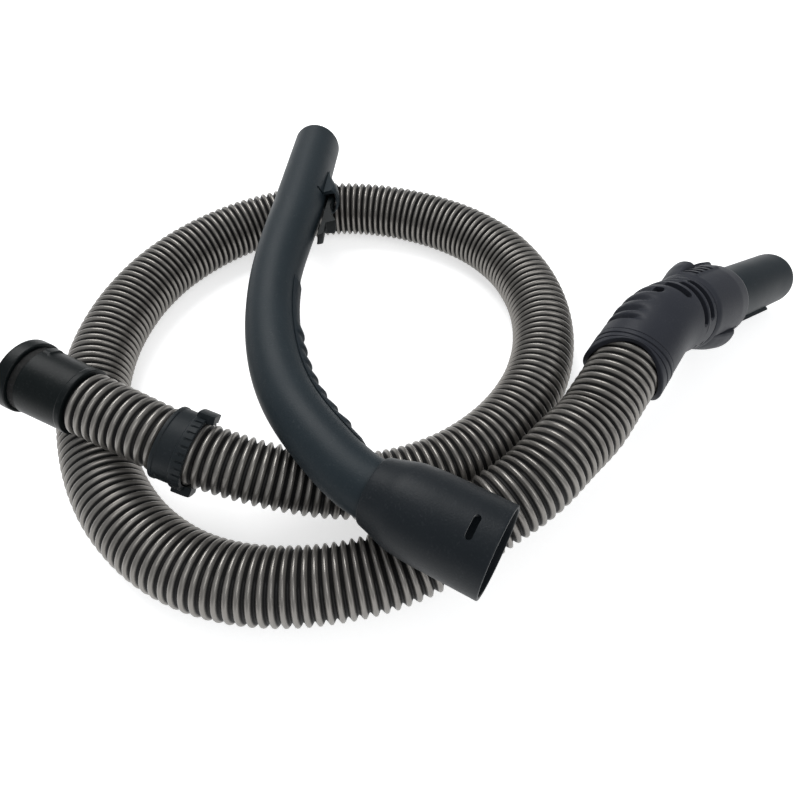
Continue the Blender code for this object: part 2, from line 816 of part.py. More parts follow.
def make_socket(line, start, material):
    """The bell at the handle's end that takes the cuff: neck, shoulder, straight mouth, two snap slots."""
    end = line.length
    outer, neck, bore = SOCKET_OD / 2, SOCKET_NECK_OD / 2, SOCKET_BORE / 2
    hold = GRIP_OD / 2 + GAP
    section = [
        (start, hold),
        (start, neck - 0.0004),
        (start + 0.001, neck),
        (start + 0.35 * SOCKET_SHOULDER, neck + 0.30 * (outer - neck)),
        (start + 0.70 * SOCKET_SHOULDER, neck + 0.78 * (outer - neck)),
        (start + SOCKET_SHOULDER, outer - 0.0005),
        (start + SOCKET_SHOULDER + 0.006, outer),
        (end - 0.0008, outer),
        (end, outer - 0.0003),
        (end, bore),
        (start + SOCKET_SHOULDER, bore),
        (start + TUBE_OVERLAP + 0.003, hold),
    ]
    socket = swept("handle_socket", line, section, material, ROUND_SIDES, origin=line.at(end)[0])
    middle, half = end - SOCKET_SLOT_BACK, SOCKET_SLOT_WIDTH / 2
    block = [
        (middle - half, bore - 0.002),
        (middle - half, outer + 0.002),
        (middle + half, outer + 0.002),
        (middle + half, bore - 0.002),
    ]
    for i, angle in enumerate(SOCKET_SLOT_ANGLES):
        span = (angle - SOCKET_SLOT_SPAN / 2, angle + SOCKET_SLOT_SPAN / 2)
        cut(socket, swept(f"snap_slot_{i + 1}", line, block, None, 6, span))


def make_socket_seal(line, start, material):
    first = start + SOCKET_SHOULDER + GAP
    outer = SOCKET_BORE / 2 - GAP
    section = [
        (first, outer - SEAL_THICK),
        (first, outer),
        (first + SEAL_WIDTH, outer),
        (first + SEAL_WIDTH, outer - SEAL_THICK),
    ]
    swept("socket_seal", line, section, material, 24, origin=line.at(first)[0])


def make_grip(line, material):
    """The soft strip along the inside of the bend, with a row of saw-tooth finger bumps."""
    seat = GRIP_OD / 2 + GAP
    end = STRIP_START + STRIP_LENGTH
    first = STRIP_START + BUMP_START
    plain = seat + STRIP_THICK
    half = STRIP_SPAN / 2

    def rising(height):
        def radius(degrees):
            off = np.abs(degrees - STRIP_ANGLE) / half
            return plain - 0.5 * STRIP_THICK * off**2 + height * np.clip(1 - off**2, 0, 1)

        return radius

    def base(s):
        return float(tube_radius(s)) + GAP

    lift = [base(s) - seat for s in (STRIP_START, STRIP_START + 0.02)]
    section = [
        (STRIP_START, base(STRIP_START)),
        (STRIP_START, base(STRIP_START) + 0.0005),
        (STRIP_START + 0.004, rising(lift[0])),
        (STRIP_START + 0.020, rising(lift[1])),
    ]
    for i in range(BUMPS):
        foot = first + i * BUMP_PITCH
        section += [(foot, rising(0.0)), (foot + 0.78 * BUMP_PITCH, rising(BUMP_HEIGHT))]
    section += [(end - 0.004, rising(0.0)), (end, seat + 0.0005)]
    section += [(s, base(s)) for s in np.linspace(end, STRIP_START, 14)[:-1]]
    span = (STRIP_ANGLE - half, STRIP_ANGLE + half)
    swept("grip_strip", line, section, material, 8, span, line.at(STRIP_START)[0])


def make_trigger(line, materials):
    """The hood on the wand end, with the hooked release lever on its pin and the lever's spring."""
    seat = WAND_OD / 2 + GAP
    end = HOOD_START + HOOD_LENGTH
    top = WAND_OD / 2 + HOOD_RISE
    pin, rise = HOOD_START + PIN_AT, seat + PIN_RISE
    half = HOOD_SPAN / 2
    inside = end - 0.0115
    section = [
        (HOOD_START, seat),
        (HOOD_START, seat + 0.0005),
        (HOOD_START + 0.006, seat + 0.25 * HOOD_RISE),
        (HOOD_START + 0.018, top - 0.0006),
        (end - 0.003, top),
        (end, top - 0.0009),
        (end, seat),
    ]
    origin = line.on_surface(pin, rise, HOOD_ANGLE)
    span = (HOOD_ANGLE - half, HOOD_ANGLE + half)
    hood = swept("trigger_hood", line, section, materials["handle"], 8, span, origin)
    low, roof = seat - 0.001, top - HOOD_WALL
    room = [(inside, low), (inside, roof), (end + 0.001, roof), (end + 0.001, low)]
    cheek = math.degrees(HOOD_WALL / seat)
    cut(hood, swept("hood_room", line, room, None, 8, (span[0] + cheek, span[1] - cheek)))
    _, side, up, _ = (row[0] for row in line.axes(pin))
    turn = math.radians(HOOD_ANGLE)
    across = -math.sin(turn) * side + math.cos(turn) * up
    reach = 2 * rise * math.sin(math.radians(half)) - 0.0004
    hole = PIN_RADIUS + GAP
    cut(hood, keep("pin_hole", pin_mesh("pin_hole", origin, across, reach + 0.01, hole), None))

    thick = LEVER_THICK / 2
    tip = pin + LEVER_LENGTH
    hook = pin + HOOK_AT
    low = seat + LEVER_SEAT
    lever = [
        (pin - LEVER_BACK, rise - thick),
        (pin - LEVER_BACK, rise + 0.6 * thick),
        (pin - 0.002, rise + thick + 0.0004),
        (pin + 0.003, rise + thick + 0.0004),
        (pin + 0.5 * HOOK_AT, rise + thick - 0.0010),
        (hook - 0.003, seat + 0.8 * HOOK_RISE),
        (hook, seat + HOOK_RISE),
        (hook + 0.0012, seat + HOOK_RISE),
        (hook + 0.0036, seat + 0.45 * HOOK_RISE),
        (tip - 0.0025, seat + 0.52 * HOOK_RISE),
        (tip, low + 0.0010),
        (tip, low),
        (pin + 0.004, rise - thick - 0.0002),
    ]
    span = (HOOD_ANGLE - LEVER_SPAN / 2, HOOD_ANGLE + LEVER_SPAN / 2)
    body = swept("release_lever", line, lever, materials["black"], 4, span, origin)
    cut(body, keep("lever_hole", pin_mesh("lever_hole", origin, across, reach, hole), None))
    keep("lever_pin", pin_mesh("lever_pin", origin, across, reach, PIN_RADIUS), materials["steel"], origin)
    reach_side = (rise + LEVER_THICK) * math.sin(math.radians(LEVER_SPAN / 2))
    spring = straight(np.array(origin) + across * (reach_side + GAP), across, SPRING_LENGTH)
    low, high = PIN_RADIUS + GAP, PIN_RADIUS + GAP + SPRING_WIRE
    coil = [(0, low), (0, high), (SPRING_LENGTH, high), (SPRING_LENGTH, low)]
    swept("lever_spring", spring, coil, materials["steel"], 16, origin=origin)


# ---------------------------------------------------------------- the whole object


def clear_scene():
    for obj in list(bpy.data.objects):
        bpy.data.objects.remove(obj, do_unlink=True)


def main():
    clear_scene()
    materials = {
        "hose": plastic("hose_grey", (0.20, 0.19, 0.18), 0.42),
        "black": plastic("cuff_black", (0.012, 0.014, 0.016), 0.38),
        "rubber": plastic("seal_rubber", (0.008, 0.008, 0.008), 0.70),
        "handle": plastic("handle_charcoal", (0.036, 0.047, 0.057), 0.50),
        "grip": plastic("grip_charcoal", (0.028, 0.037, 0.045), 0.62),
        "elbow": plastic("elbow_charcoal", (0.042, 0.044, 0.056), 0.50),
        "spigot": plastic("spigot_slate", (0.030, 0.042, 0.055), 0.42),
        "white": plastic("washer_white", (0.62, 0.62, 0.60), 0.45),
        "steel": plastic("pin_steel", (0.55, 0.55, 0.56), 0.30, 1.0),
    }
    line = hose_line()
    ribs = make_hose(line, materials["hose"])
    gap, one, other = least_gap(line)
    print(f"hose: {line.length:.3f} m long, {ribs} ribs, tightest bend {tightest_bend(line) * 1000:.0f} mm")
    print(f"hose: least gap to itself {gap * 1000:.2f} mm, from {one:.3f} to {other:.3f}")

    cuff_line = straight(placed(CUFF_END), -unit(CUFF_HEADING), CUFF_LENGTH)
    inner = float(insert_radius(0.0, line.length))
    make_insert("cuff_insert", cuff_line, inner, materials["black"])
    make_cuff(cuff_line, inner, materials)
    make_collar(line, float(hose_radius(COLLAR_AT, line.length)), materials["black"])

    bend = elbow_line()
    inner = float(insert_radius(line.length, line.length))
    make_insert("elbow_insert", bend, inner, materials["black"])
    make_ring(bend, inner, HOSE_ELBOW_OD / 2, materials["elbow"])
    make_washer(bend, inner, materials["white"])
    make_barrel(bend, materials["elbow"])
    make_liner(bend, materials["black"])
    make_housing(bend, materials["elbow"])
    for name, angle, span, rise, crest in zip(TAB_NAMES, TAB_ANGLES, TAB_SPANS, TAB_RISES, TAB_CRESTS):
        make_tab(name, bend, angle, span, rise, crest, materials["elbow"])
    make_spigot(bend, materials["spigot"])
    print(f"elbow: {bend.length:.4f} m from the hose's end to the tip")

    grip_line, socket_start = handle_line()
    make_handle_tube(grip_line, socket_start, materials["handle"])
    make_socket(grip_line, socket_start, materials["handle"])
    make_socket_seal(grip_line, socket_start, materials["rubber"])
    make_grip(grip_line, materials["grip"])
    make_trigger(grip_line, materials)
    print(f"handle: {grip_line.length:.4f} m along its middle, socket from {socket_start:.4f}")


main()
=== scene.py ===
# %% [markdown]
# # A vacuum cleaner hose with its handle
#
# The object is the suction hose of a vacuum cleaner on wheels. A ribbed hose lies on a table in one loop.
# A black cuff closes one of its ends and a bent connector for the machine closes the other. A long curved
# handle with a bell at one end lies loose on top. The CAD model gives every piece its place. This script
# dresses it: the visible pieces are made again with soft edges, ribs and slots, and every surface gets a
# finish that is worked out by nodes.

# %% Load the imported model
import math

import bpy
import numpy as np
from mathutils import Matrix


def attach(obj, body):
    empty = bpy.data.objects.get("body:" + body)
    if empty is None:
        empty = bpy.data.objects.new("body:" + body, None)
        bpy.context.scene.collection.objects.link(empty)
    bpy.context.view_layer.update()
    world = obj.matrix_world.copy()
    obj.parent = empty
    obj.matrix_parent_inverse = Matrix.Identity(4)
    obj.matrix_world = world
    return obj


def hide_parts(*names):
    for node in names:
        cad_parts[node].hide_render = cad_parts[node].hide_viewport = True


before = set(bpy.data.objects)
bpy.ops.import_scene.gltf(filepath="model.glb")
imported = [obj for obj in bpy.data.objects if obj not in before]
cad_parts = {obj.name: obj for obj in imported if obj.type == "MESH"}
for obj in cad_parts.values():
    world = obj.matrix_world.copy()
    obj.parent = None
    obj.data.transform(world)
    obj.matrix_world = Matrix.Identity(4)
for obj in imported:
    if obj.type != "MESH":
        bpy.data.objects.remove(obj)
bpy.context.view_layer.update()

# %% [markdown]
# ## The camera
#
# The photograph looks down on the table from the front. On it the hose keeps one width all round its loop
# only for one tilt, which gave the angle and the distance. A 27 mm lens on a 36 mm sensor shows the same
# perspective, with the middle of the picture on the lens's axis, so there is no shift.

# %% Camera
LAYOUT_CENTRE = np.array([0.0327, 0.0426, 0.0])  # where the drawing of the loop has the object's origin
CAMERA_AT = np.array([0.0, -0.2133, 0.2993]) - LAYOUT_CENTRE
LOOKING_DOWN = 52.7  # degrees below the horizon
LENS = 27.0

camera_data = bpy.data.cameras.new("camera")
camera_data.lens = LENS
camera_data.sensor_width = 36.0
camera_data.clip_start = 0.01
camera = bpy.data.objects.new("camera", camera_data)
camera.location = CAMERA_AT
camera.rotation_euler = (math.radians(90 - LOOKING_DOWN), 0, 0)
bpy.context.scene.collection.objects.link(camera)
bpy.context.scene.camera = camera
print("camera at", np.round(CAMERA_AT, 3))

# %% [markdown]
# ## Lines to build on
#
# Every piece here is round about a line that bends: the hose, the elbow and the handle. A modeller could
# bend straight pieces with lattices, or sweep curves. Here a line is only a list of points, and a place on a
# piece is three numbers: how far along the line, how far from it, and at which angle round it. Whole
# surfaces can then be worked out at once, and a slot or a bump is put where the real one is by the same
# three numbers.

# %% A line that is read by the distance along it
FLOOR_LIFT = 0.0193  # height of the middle of the hose where it lies on the floor


def placed(point):
    """A layout point (x, y, rise above the middle of a hose on the floor) in the object's own frame."""
    return np.array(point, float) - LAYOUT_CENTRE + [0, 0, FLOOR_LIFT]


def unit(vector):
    """The vector divided by its length."""
    vector = np.array(vector, float)
    return vector / np.linalg.norm(vector)


class Line:
    """A path in space.

    side = heading x up and top = side x heading, both one long. The place at distance s, radius r and
    angle a is middle(s) + r (cos a side + sin a top): 0 degrees is level, to the right of the heading.
    """

    def __init__(self, points):
        self.points = np.array(points)
        steps = np.linalg.norm(np.diff(self.points, axis=0), axis=1)
        self.marks = np.concatenate([[0.0], np.cumsum(steps)])
        self.length = float(self.marks[-1])

    def read(self, s):
        return np.stack([np.interp(s, self.marks, self.points[:, k]) for k in range(3)], axis=-1)

    def heading(self, s):
        """(point a little further - point a little before) / its length."""
        low = np.clip(s - 0.0008, 0.0, self.length - 0.0016)
        aim = self.read(low + 0.0016) - self.read(low)
        return aim / np.linalg.norm(aim, axis=-1, keepdims=True)

    def place(self, s, radius, degrees):
        """The formula above, for arrays of any one shape; beyond its ends the line goes straight on."""
        s, radius, degrees = np.broadcast_arrays(*(np.array(v, float) for v in (s, radius, degrees)))
        inside = np.clip(s, 0.0, self.length)
        aim = self.heading(inside)
        side = np.cross(aim, [0.0, 0.0, 1.0])
        side /= np.linalg.norm(side, axis=-1, keepdims=True)
        top = np.cross(side, aim)
        middle = self.read(inside) + (s - inside)[..., None] * aim
        turn = np.radians(degrees)[..., None]
        return middle + radius[..., None] * (np.cos(turn) * side + np.sin(turn) * top)


def smooth_path(points, start_heading, end_heading, step=0.0005):
    """Cubic pieces through the points, with equal slopes and bends where they meet, and both ends aimed.

    Between neighbours p and q at distance d, with slopes u and v, the piece is
    (2t³-3t²+1) p + (t³-2t²+t) d u + (3t²-2t³) q + (t³-t²) d v.
    """
    points = np.array(points)
    spans = np.linalg.norm(np.diff(points, axis=0), axis=1)
    count = len(points)
    system = np.zeros((count, count))
    wanted = np.zeros((count, 3))
    system[0, 0] = system[-1, -1] = 1.0
    wanted[0], wanted[-1] = unit(start_heading), unit(end_heading)
    for i in range(1, count - 1):
        before, after = spans[i - 1], spans[i]
        system[i, i - 1 : i + 2] = after, 2 * (before + after), before
        rise = (points[i] - points[i - 1]) * after / before + (points[i + 1] - points[i]) * before / after
        wanted[i] = 3 * rise
    slopes = np.linalg.solve(system, wanted)
    pieces = []
    for i, span in enumerate(spans):
        t = np.linspace(0, 1, max(2, round(span / step)), endpoint=False)[:, None]
        pieces.append(
            (2 * t**3 - 3 * t**2 + 1) * points[i]
            + (t**3 - 2 * t**2 + t) * span * slopes[i]
            + (3 * t**2 - 2 * t**3) * points[i + 1]
            + (t**3 - t**2) * span * slopes[i + 1]
        )
    return np.vstack(pieces + [points[-1:]])


def rise(x, start, end):
    """0 up to start, 1 from end on, and 3t² - 2t³ between them."""
    t = np.clip((np.array(x, float) - start) / (end - start), 0.0, 1.0)
    return t * t * (3 - 2 * t)


def hump(x, low, high, edge):
    """1 between low and high, and a soft fall to 0 over one edge's width outside them."""
    return rise(x, low - edge, low) * (1 - rise(x, high, high + edge))


print("a hump from 0 to 1:", np.round(hump(np.linspace(-0.5, 1.5, 5), 0, 1, 0.5), 2))

# %% [markdown]
# ## The route of the hose
#
# The hose leaves the cuff high up, comes down over its own loop, goes once round on the table and climbs to
# the elbow. The points are the CAD model's own, so the new hose lies where the solid one lies. The real hose
# is drawn out thinner at the cuff and is pushed together thicker at the elbow.

# %% Hose line
CUFF_END = (-0.1595, -0.0295, 0.0364)
CUFF_HEADING = (0.908, -0.385, -0.16)
OVER_THE_LOOP = [
    (-0.1095, -0.0497, 0.0264), (-0.0765, -0.0582, 0.0182), (-0.0510, -0.0608, 0.0108),
    (-0.0330, -0.0610, 0.0068), (0.0, -0.0550, 0.0022),
]
LOOP = [
    (0.029, -0.043, 0.0005), (0.050, -0.028, 0.0), (0.077, 0.006, 0.0), (0.088, 0.034, 0.0),
    (0.092, 0.067, 0.0), (0.087, 0.100, 0.0), (0.073, 0.130, 0.0), (0.052, 0.153, 0.0),
    (0.023, 0.171, 0.0), (-0.012, 0.183, 0.0), (-0.045, 0.186, 0.0), (-0.079, 0.180, 0.0),
    (-0.113, 0.165, 0.0), (-0.142, 0.142, 0.0), (-0.165, 0.112, 0.0), (-0.179, 0.077, 0.0),
    (-0.184, 0.040, 0.0), (-0.180, 0.003, 0.0), (-0.170, -0.028, 0.0), (-0.154, -0.058, 0.0),
    (-0.130, -0.085, 0.0), (-0.098, -0.104, 0.0), (-0.062, -0.111, 0.0), (-0.024, -0.108, 0.0),
    (0.005, -0.0995, 0.0012),
]
UP_TO_THE_ELBOW = [
    (0.0362, -0.0828, 0.0072), (0.0520, -0.0736, 0.0118), (0.0675, -0.0630, 0.0150),
    (0.0850, -0.0460, 0.0178),
]
ELBOW_END = (0.1278, 0.0059, 0.0255)
ELBOW_HEADING = (0.585, 0.795, 0.15)
HOSE_OD = 0.038
HOSE_CUFF_OD = 0.0335
HOSE_ELBOW_OD = 0.0395
THIN_BLEND = (0.11, 0.23)  # from the cuff
THICK_BLEND = (0.17, 0.08)  # from the elbow


def hose_path():
    """The smooth path through all the points, straight for one diameter at each end."""
    start, aim = placed(CUFF_END), unit(CUFF_HEADING)
    end, end_aim = placed(ELBOW_END), unit(ELBOW_HEADING)
    first, last = start + aim * HOSE_CUFF_OD, end - end_aim * HOSE_ELBOW_OD
    between = [placed(point) for point in OVER_THE_LOOP + LOOP + UP_TO_THE_ELBOW]
    free = smooth_path([first, *between, last], aim, end_aim)
    return Line(np.vstack([start, free, end]))


hose_line = hose_path()


def hose_radius(s):
    """Half of 38 mm, blended to half of 33.5 mm near the cuff and of 39.5 mm near the elbow."""
    thin = 1 - rise(s, *THIN_BLEND)
    thick = rise(s, *(hose_line.length - mark for mark in THICK_BLEND))
    return (HOSE_OD + thin * (HOSE_CUFF_OD - HOSE_OD) + thick * (HOSE_ELBOW_OD - HOSE_OD)) / 2


print(f"hose: {hose_line.length:.3f} m long")

# %% [markdown]
# ## Skins from grids
#
# A piece is a closed outline in (s, r) that is carried round its line, like a pastry cutter on a potter's
# wheel whose axle bends. Its corners are rounded first, because a moulded edge is never sharp and catches a
# fine line of light. A form, if there is one, then pushes each place of the skin in or out, so that ribs,
# ticks and bumps are part of the shape and not only of the finish.

# %% Outline, skin and piece
def softened(corners, step):
    """Rounds an outline's corners and splits its long runs.

    A corner (s, r, f) is left at f before it and joined again at f after it, by the curve
    (1-t)² before + 2t(1-t) corner + t² after. No run is then longer than step.
    """
    corners = [(*corner, 0.0)[:3] for corner in corners]
    spots = np.array([corner[:2] for corner in corners])
    t = np.linspace(0, 1, 6)[:, None]
    outline = []
    for i, (_, _, cut_back) in enumerate(corners):
        here, before, after = spots[i], spots[i - 1], spots[(i + 1) % len(spots)]
        if cut_back:
            back = here + unit(before - here) * cut_back
            front = here + unit(after - here) * cut_back
            outline.append((1 - t) ** 2 * back + 2 * t * (1 - t) * here + t**2 * front)
        else:
            outline.append(here[None])
    outline = np.vstack(outline)
    runs = []
    for a, b in zip(outline, np.roll(outline, -1, axis=0)):
        parts = max(1, math.ceil(np.linalg.norm(b - a) / step))
        runs.append(a + (b - a) * np.arange(parts)[:, None] / parts)
    return np.vstack(runs)


def skin(name, grid, around, sharp=34.0):
    """A mesh object from a grid of points whose rows close into a ring.

    Its columns close too if around is true; if not, each end gets one flat face. The faces are turned
    outwards by the sign of the volume, the sum over triangles of a · (b x c) / 6.
    """
    rows, columns = grid.shape[:2]
    index = np.arange(rows * columns).reshape(rows, columns)
    after = np.roll(index, -1, axis=0)
    if around:
        quads = np.stack([index, np.roll(index, -1, axis=1), np.roll(after, -1, axis=1), after], axis=-1)
        ends = []
    else:
        quads = np.stack([index[:, :-1], index[:, 1:], after[:, 1:], after[:, :-1]], axis=-1)
        ends = [index[:, 0], index[::-1, -1]]
    quads = quads.reshape(-1, 4)
    points = grid.reshape(-1, 3)
    near = points - points.mean(axis=0)
    a, b, c, d = (near[quads[:, k]] for k in range(4))
    volume = np.sum(np.cross(a, b) * c) + np.sum(np.cross(a, c) * d)
    for end in ends:
        fan = near[end]
        volume += np.sum(np.cross(fan[:1], fan[1:-1]) * fan[2:])
    turn = -1 if volume < 0 else 1
    faces = quads[:, ::turn].tolist() + [end[::turn].tolist() for end in ends]
    mesh = bpy.data.meshes.new(name)
    mesh.from_pydata(points.tolist(), [], faces)
    mesh.shade_smooth()
    mesh.set_sharp_from_angle(angle=math.radians(sharp))
    piece = bpy.data.objects.new(name, mesh)
    bpy.context.scene.collection.objects.link(piece)
    return piece


def turned(name, line, corners, sides=96, span=None, step=0.0015, form=None, sharp=34.0):
    """Carries an outline round a line, all the way or over a span of degrees.

    Point (i, j) is line.place(s_i, r_i, a_j); form(s, r, degrees) may give each point another s and r.
    """
    outline = softened(corners, step)
    if span is None:
        degrees = np.linspace(0, 360, sides, endpoint=False)
    else:
        degrees = np.linspace(*span, sides + 1)
    s, degrees = np.meshgrid(outline[:, 0], degrees, indexing="ij")
    radius = np.repeat(outline[:, 1:], s.shape[1], axis=1)
    if form:
        s, radius = form(s, radius, degrees)
    return skin(name, line.place(s, radius, degrees), span is None, sharp)


def mitre(degrees, middle):
    """Degrees from a middle angle, between -180 and 180."""
    return (degrees - middle + 180) % 360 - 180


square = [(0, 0), (1, 0, 0.2), (1, 1, 0.2), (0, 1)]
print("a rounded square outline has", len(softened(square, 0.5)), "points")

# %% [markdown]
# ## Slots
#
# Air slots, snap slots and small recesses are cut with Booleans. Cutting beats modelling around a hole,
# because the skin round it stays an even grid. A cutter is a short turned block whose ends are pulled
# together on a half circle, so that the slot gets round ends.

# %% Cutters
def slot_tool(line, middle, width, angles, depths, round_ends=True):
    """A block across s that spans angles = (from, to) and radii depths = (from, to).

    Half its width is (width/2) sqrt(1 - u²) in its round ends, where u runs from 0 to 1 over width/2.
    """
    low, high = angles
    reach = math.degrees(width / 2 / np.mean(depths))
    inner, outer = depths
    half = width / 2
    corners = [(-half, inner), (-half, outer), (half, outer), (half, inner)]

    def narrowed(s, radius, degrees):
        to_end = np.minimum(degrees - low, high - degrees)
        u = np.clip(1 - to_end / reach, 0, 1)
        share = np.sqrt(np.clip(1 - u**2, 0.03, 1)) if round_ends else 1.0
        return middle + s * share, radius

    return turned("cutter", line, corners, 28, angles, step=1.0, form=narrowed)


def carve(piece, cutters, sharp=34.0):
    """Takes cutters out of a piece with exact Booleans and keeps the result as its own mesh."""
    for cutter in cutters:
        change = piece.modifiers.new("cut", "BOOLEAN")
        change.object = cutter
        change.operation = "DIFFERENCE"
        change.solver = "EXACT"
    graph = bpy.context.evaluated_depsgraph_get()
    mesh = bpy.data.meshes.new_from_object(piece.evaluated_get(graph))
    piece.modifiers.clear()
    piece.data = mesh
    mesh.shade_smooth()
    mesh.set_sharp_from_angle(angle=math.radians(sharp))
    for cutter in cutters:
        bpy.data.objects.remove(cutter)
    return piece


print("cutters are ready")

# %% [markdown]
# ## A small language for finishes
#
# A finish is a tree of nodes. Placing and linking each node by hand takes ten lines for one formula, so a
# signal wraps a socket and lets Python's own + - * build the Math nodes. Everything else goes through one
# method that makes a node, applies its settings and fills its sockets.

# %% Signals and finishes
class Signal:
    """The output of a node, on which sums, differences and products make Math nodes."""

    def __init__(self, finish, socket):
        self.finish = finish
        self.socket = socket

    def maths(self, operation, first, second):
        return self.finish.node("ShaderNodeMath", {"operation": operation}, {0: first, 1: second})

    def __add__(self, other):
        return self.maths("ADD", self, other)

    def __sub__(self, other):
        return self.maths("SUBTRACT", self, other)

    def __rsub__(self, other):
        return self.maths("SUBTRACT", other, self)

    def __mul__(self, other):
        return self.maths("MULTIPLY", self, other)

    def clipped(self):
        return self.finish.node("ShaderNodeClamp", {}, {"Value": self})

    __radd__ = __add__
    __rmul__ = __mul__


class Finish:
    """A material on a Principled shader. Constants go straight on the shader's sockets."""

    def __init__(self, name, constants):
        self.material = bpy.data.materials.new(name)
        self.material.use_nodes = True
        self.tree = self.material.node_tree
        self.shader = self.tree.nodes["Principled BSDF"]
        self.feed(constants)

    def node(self, kind, settings, values, output=0):
        """One node of a kind: its settings first, then the values or links of its sockets."""
        made = self.tree.nodes.new(kind)
        for key, value in settings.items():
            setattr(made, key, value)
        for key, value in values.items():
            self.fill(self.find(made.inputs, key), value)
        return Signal(self, self.find(made.outputs, output))

    def find(self, sockets, key):
        if isinstance(key, int):
            return sockets[key]
        by_identifier = [socket for socket in sockets if socket.identifier == key]
        return by_identifier[0] if by_identifier else sockets[key]

    def fill(self, socket, value):
        if isinstance(value, Signal):
            self.tree.links.new(value.socket, socket)
        else:
            socket.default_value = value

    def feed(self, values):
        for key, value in values.items():
            self.fill(self.shader.inputs[key], value)

    def here(self):
        """The place on the piece, in metres."""
        return self.node("ShaderNodeTexCoord", {}, {}, "Object")

    def noise(self, size, detail=2.0):
        """A cloudy pattern of about 0 to 1 whose patches are size metres wide."""
        values = {"Vector": self.here(), "Scale": 1 / size, "Detail": detail}
        return self.node("ShaderNodeTexNoise", {}, values, "Fac")

    def between(self, mask, first, second):
        """The first colour where the mask is 0 and the second where it is 1."""
        values = {"Factor_Float": mask, "A_Color": (*first, 1), "B_Color": (*second, 1)}
        return self.node("ShaderNodeMix", {"data_type": "RGBA"}, values, "Result_Color")

    def relief(self, height, depth):
        """Bump whose height of 1 stands depth metres proud."""
        values = {"Height": height, "Distance": depth, "Strength": 1.0}
        self.feed({"Normal": self.node("ShaderNodeBump", {}, values)})


print("finishes are ready")

# %% [markdown]
# ## Moulded plastic
#
# The handle, the elbow and the cuff are moulded plastic. Their moulds are etched, so the surface has a grain
# of a few tenths of a millimetre that breaks up reflections. Its colour drifts a little over centimetres,
# where the plastic flowed, and handling leaves pale dust and dull patches. An image could hold all this, but
# noise on the object's own coordinates needs no unwrapping and never stretches.

# %% Finishes
def moulded(name, colour, roughness, grain, dust=0.07, drift=0.12, shine=0.18):
    """Plastic of one colour with grain (metres high), slow drift of colour and pale specks of dust."""
    finish = Finish(name, {"Specular IOR Level": shine})
    cloud = finish.noise(0.022, 3.0)
    specks = (finish.noise(0.0011, 1.0) * 3.2 - 1.75).clipped()
    smear = (finish.noise(0.006, 4.0) * 2.4 - 0.9).clipped()
    dusty = specks * smear * dust
    light = [channel * (1 + drift) + 0.001 for channel in colour]
    dark = [channel * (1 - drift) for channel in colour]
    base = finish.between(cloud, dark, light)
    pale = finish.node(
        "ShaderNodeMix",
        {"data_type": "RGBA"},
        {"Factor_Float": dusty, "A_Color": base, "B_Color": (0.30, 0.32, 0.33, 1)},
        "Result_Color",
    )
    finish.feed({"Base Color": pale, "Roughness": roughness + (cloud - 0.5) * 0.16 + dusty * 0.3})
    finish.relief(finish.noise(0.0009, 2.0) + finish.noise(0.0035, 2.0) * 0.8, grain)
    return finish.material


charcoal = moulded("handle_charcoal", (0.012, 0.019, 0.024), 0.50, 0.00006)
# The bell is the same plastic as the tube; its darker copy of the charcoal is painted shade.
bell_charcoal_painted_shade = moulded("bell_charcoal_painted_shade", (0.007, 0.010, 0.013), 0.46, 0.00006)
grip = moulded("grip_charcoal", (0.010, 0.016, 0.021), 0.62, 0.00007)
elbow_plastic = moulded("elbow_charcoal", (0.020, 0.022, 0.029), 0.48, 0.00005)
slate = moulded("spigot_slate", (0.006, 0.011, 0.015), 0.44, 0.00002, shine=0.11)
black = moulded("cuff_black", (0.003, 0.005, 0.0055), 0.40, 0.00004, shine=0.13)
collar_black = moulded("collar_black", (0.010, 0.0135, 0.0160), 0.46, 0.00005)
rubber = moulded("seal_rubber", (0.009, 0.009, 0.009), 0.70, 0.00005, dust=0.15)
washer = moulded("washer_white", (0.60, 0.60, 0.58), 0.45, 0.00002, dust=0.1, drift=0.04)


def polished_steel():
    """Drawn wire: metal with fine lengthwise marks that vary its roughness."""
    finish = Finish("pin_steel", {"Metallic": 1.0})
    marks = finish.noise(0.0005, 3.0)
    finish.feed({"Base Color": finish.between(marks, (0.45, 0.45, 0.46), (0.62, 0.62, 0.62))})
    finish.feed({"Roughness": 0.24 + marks * 0.18})
    return finish.material


def pewter_hose():
    """The hose: pewter grey on the ribs, and near black as painted shade in the grooves and the bore, by the
    crest attribute.

    mask = clip(3.4 crest - 1.5 + a little noise); colour = near-black painted shade (1 - mask) + pewter mask.
    """
    finish = Finish("hose_grey", {"Specular IOR Level": 0.3})
    crest = finish.node("ShaderNodeAttribute", {"attribute_name": "crest"}, {}, "Fac")
    cloud = finish.noise(0.03, 3.0)
    fleck = finish.noise(0.0007, 2.0)
    mask = (crest * 3.4 - 1.5 + (fleck - 0.5) * 0.35).clipped()
    pewter = finish.between(cloud, (0.19, 0.18, 0.167), (0.27, 0.257, 0.24))
    # The near black where the mask is 0 is painted shade in the grooves and the bore.
    values = {"Factor_Float": mask, "A_Color": (0.006, 0.006, 0.006, 1), "B_Color": pewter}
    colour = finish.node("ShaderNodeMix", {"data_type": "RGBA"}, values, "Result_Color")
    finish.feed({"Base Color": colour, "Metallic": mask * 0.7})
    finish.feed({"Roughness": 0.60 - mask * 0.30 + fleck * 0.08})
    finish.relief(fleck, 0.00003)
    return finish.material


steel = polished_steel()
hose_finish = pewter_hose()
print("finishes:", sorted(material.name for material in bpy.data.materials if material.use_nodes))

# %% [markdown]
# ## Dressing a piece
#
# Each new piece rides on the CAD body that it belongs to, hides the solids that it stands for and gets its
# finish.

# %% Dress
def dress(piece, body, slot, finish, *nodes):
    """Gives a piece its finish, its body and the CAD nodes that it stands for. Its slot is not used."""
    piece.data.materials.clear()
    piece.data.materials.append(finish)
    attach(piece, body)
    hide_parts(*nodes)
    print(f"{piece.name}: {len(piece.data.polygons)} faces on {body}, for {', '.join(nodes)}")
    return piece


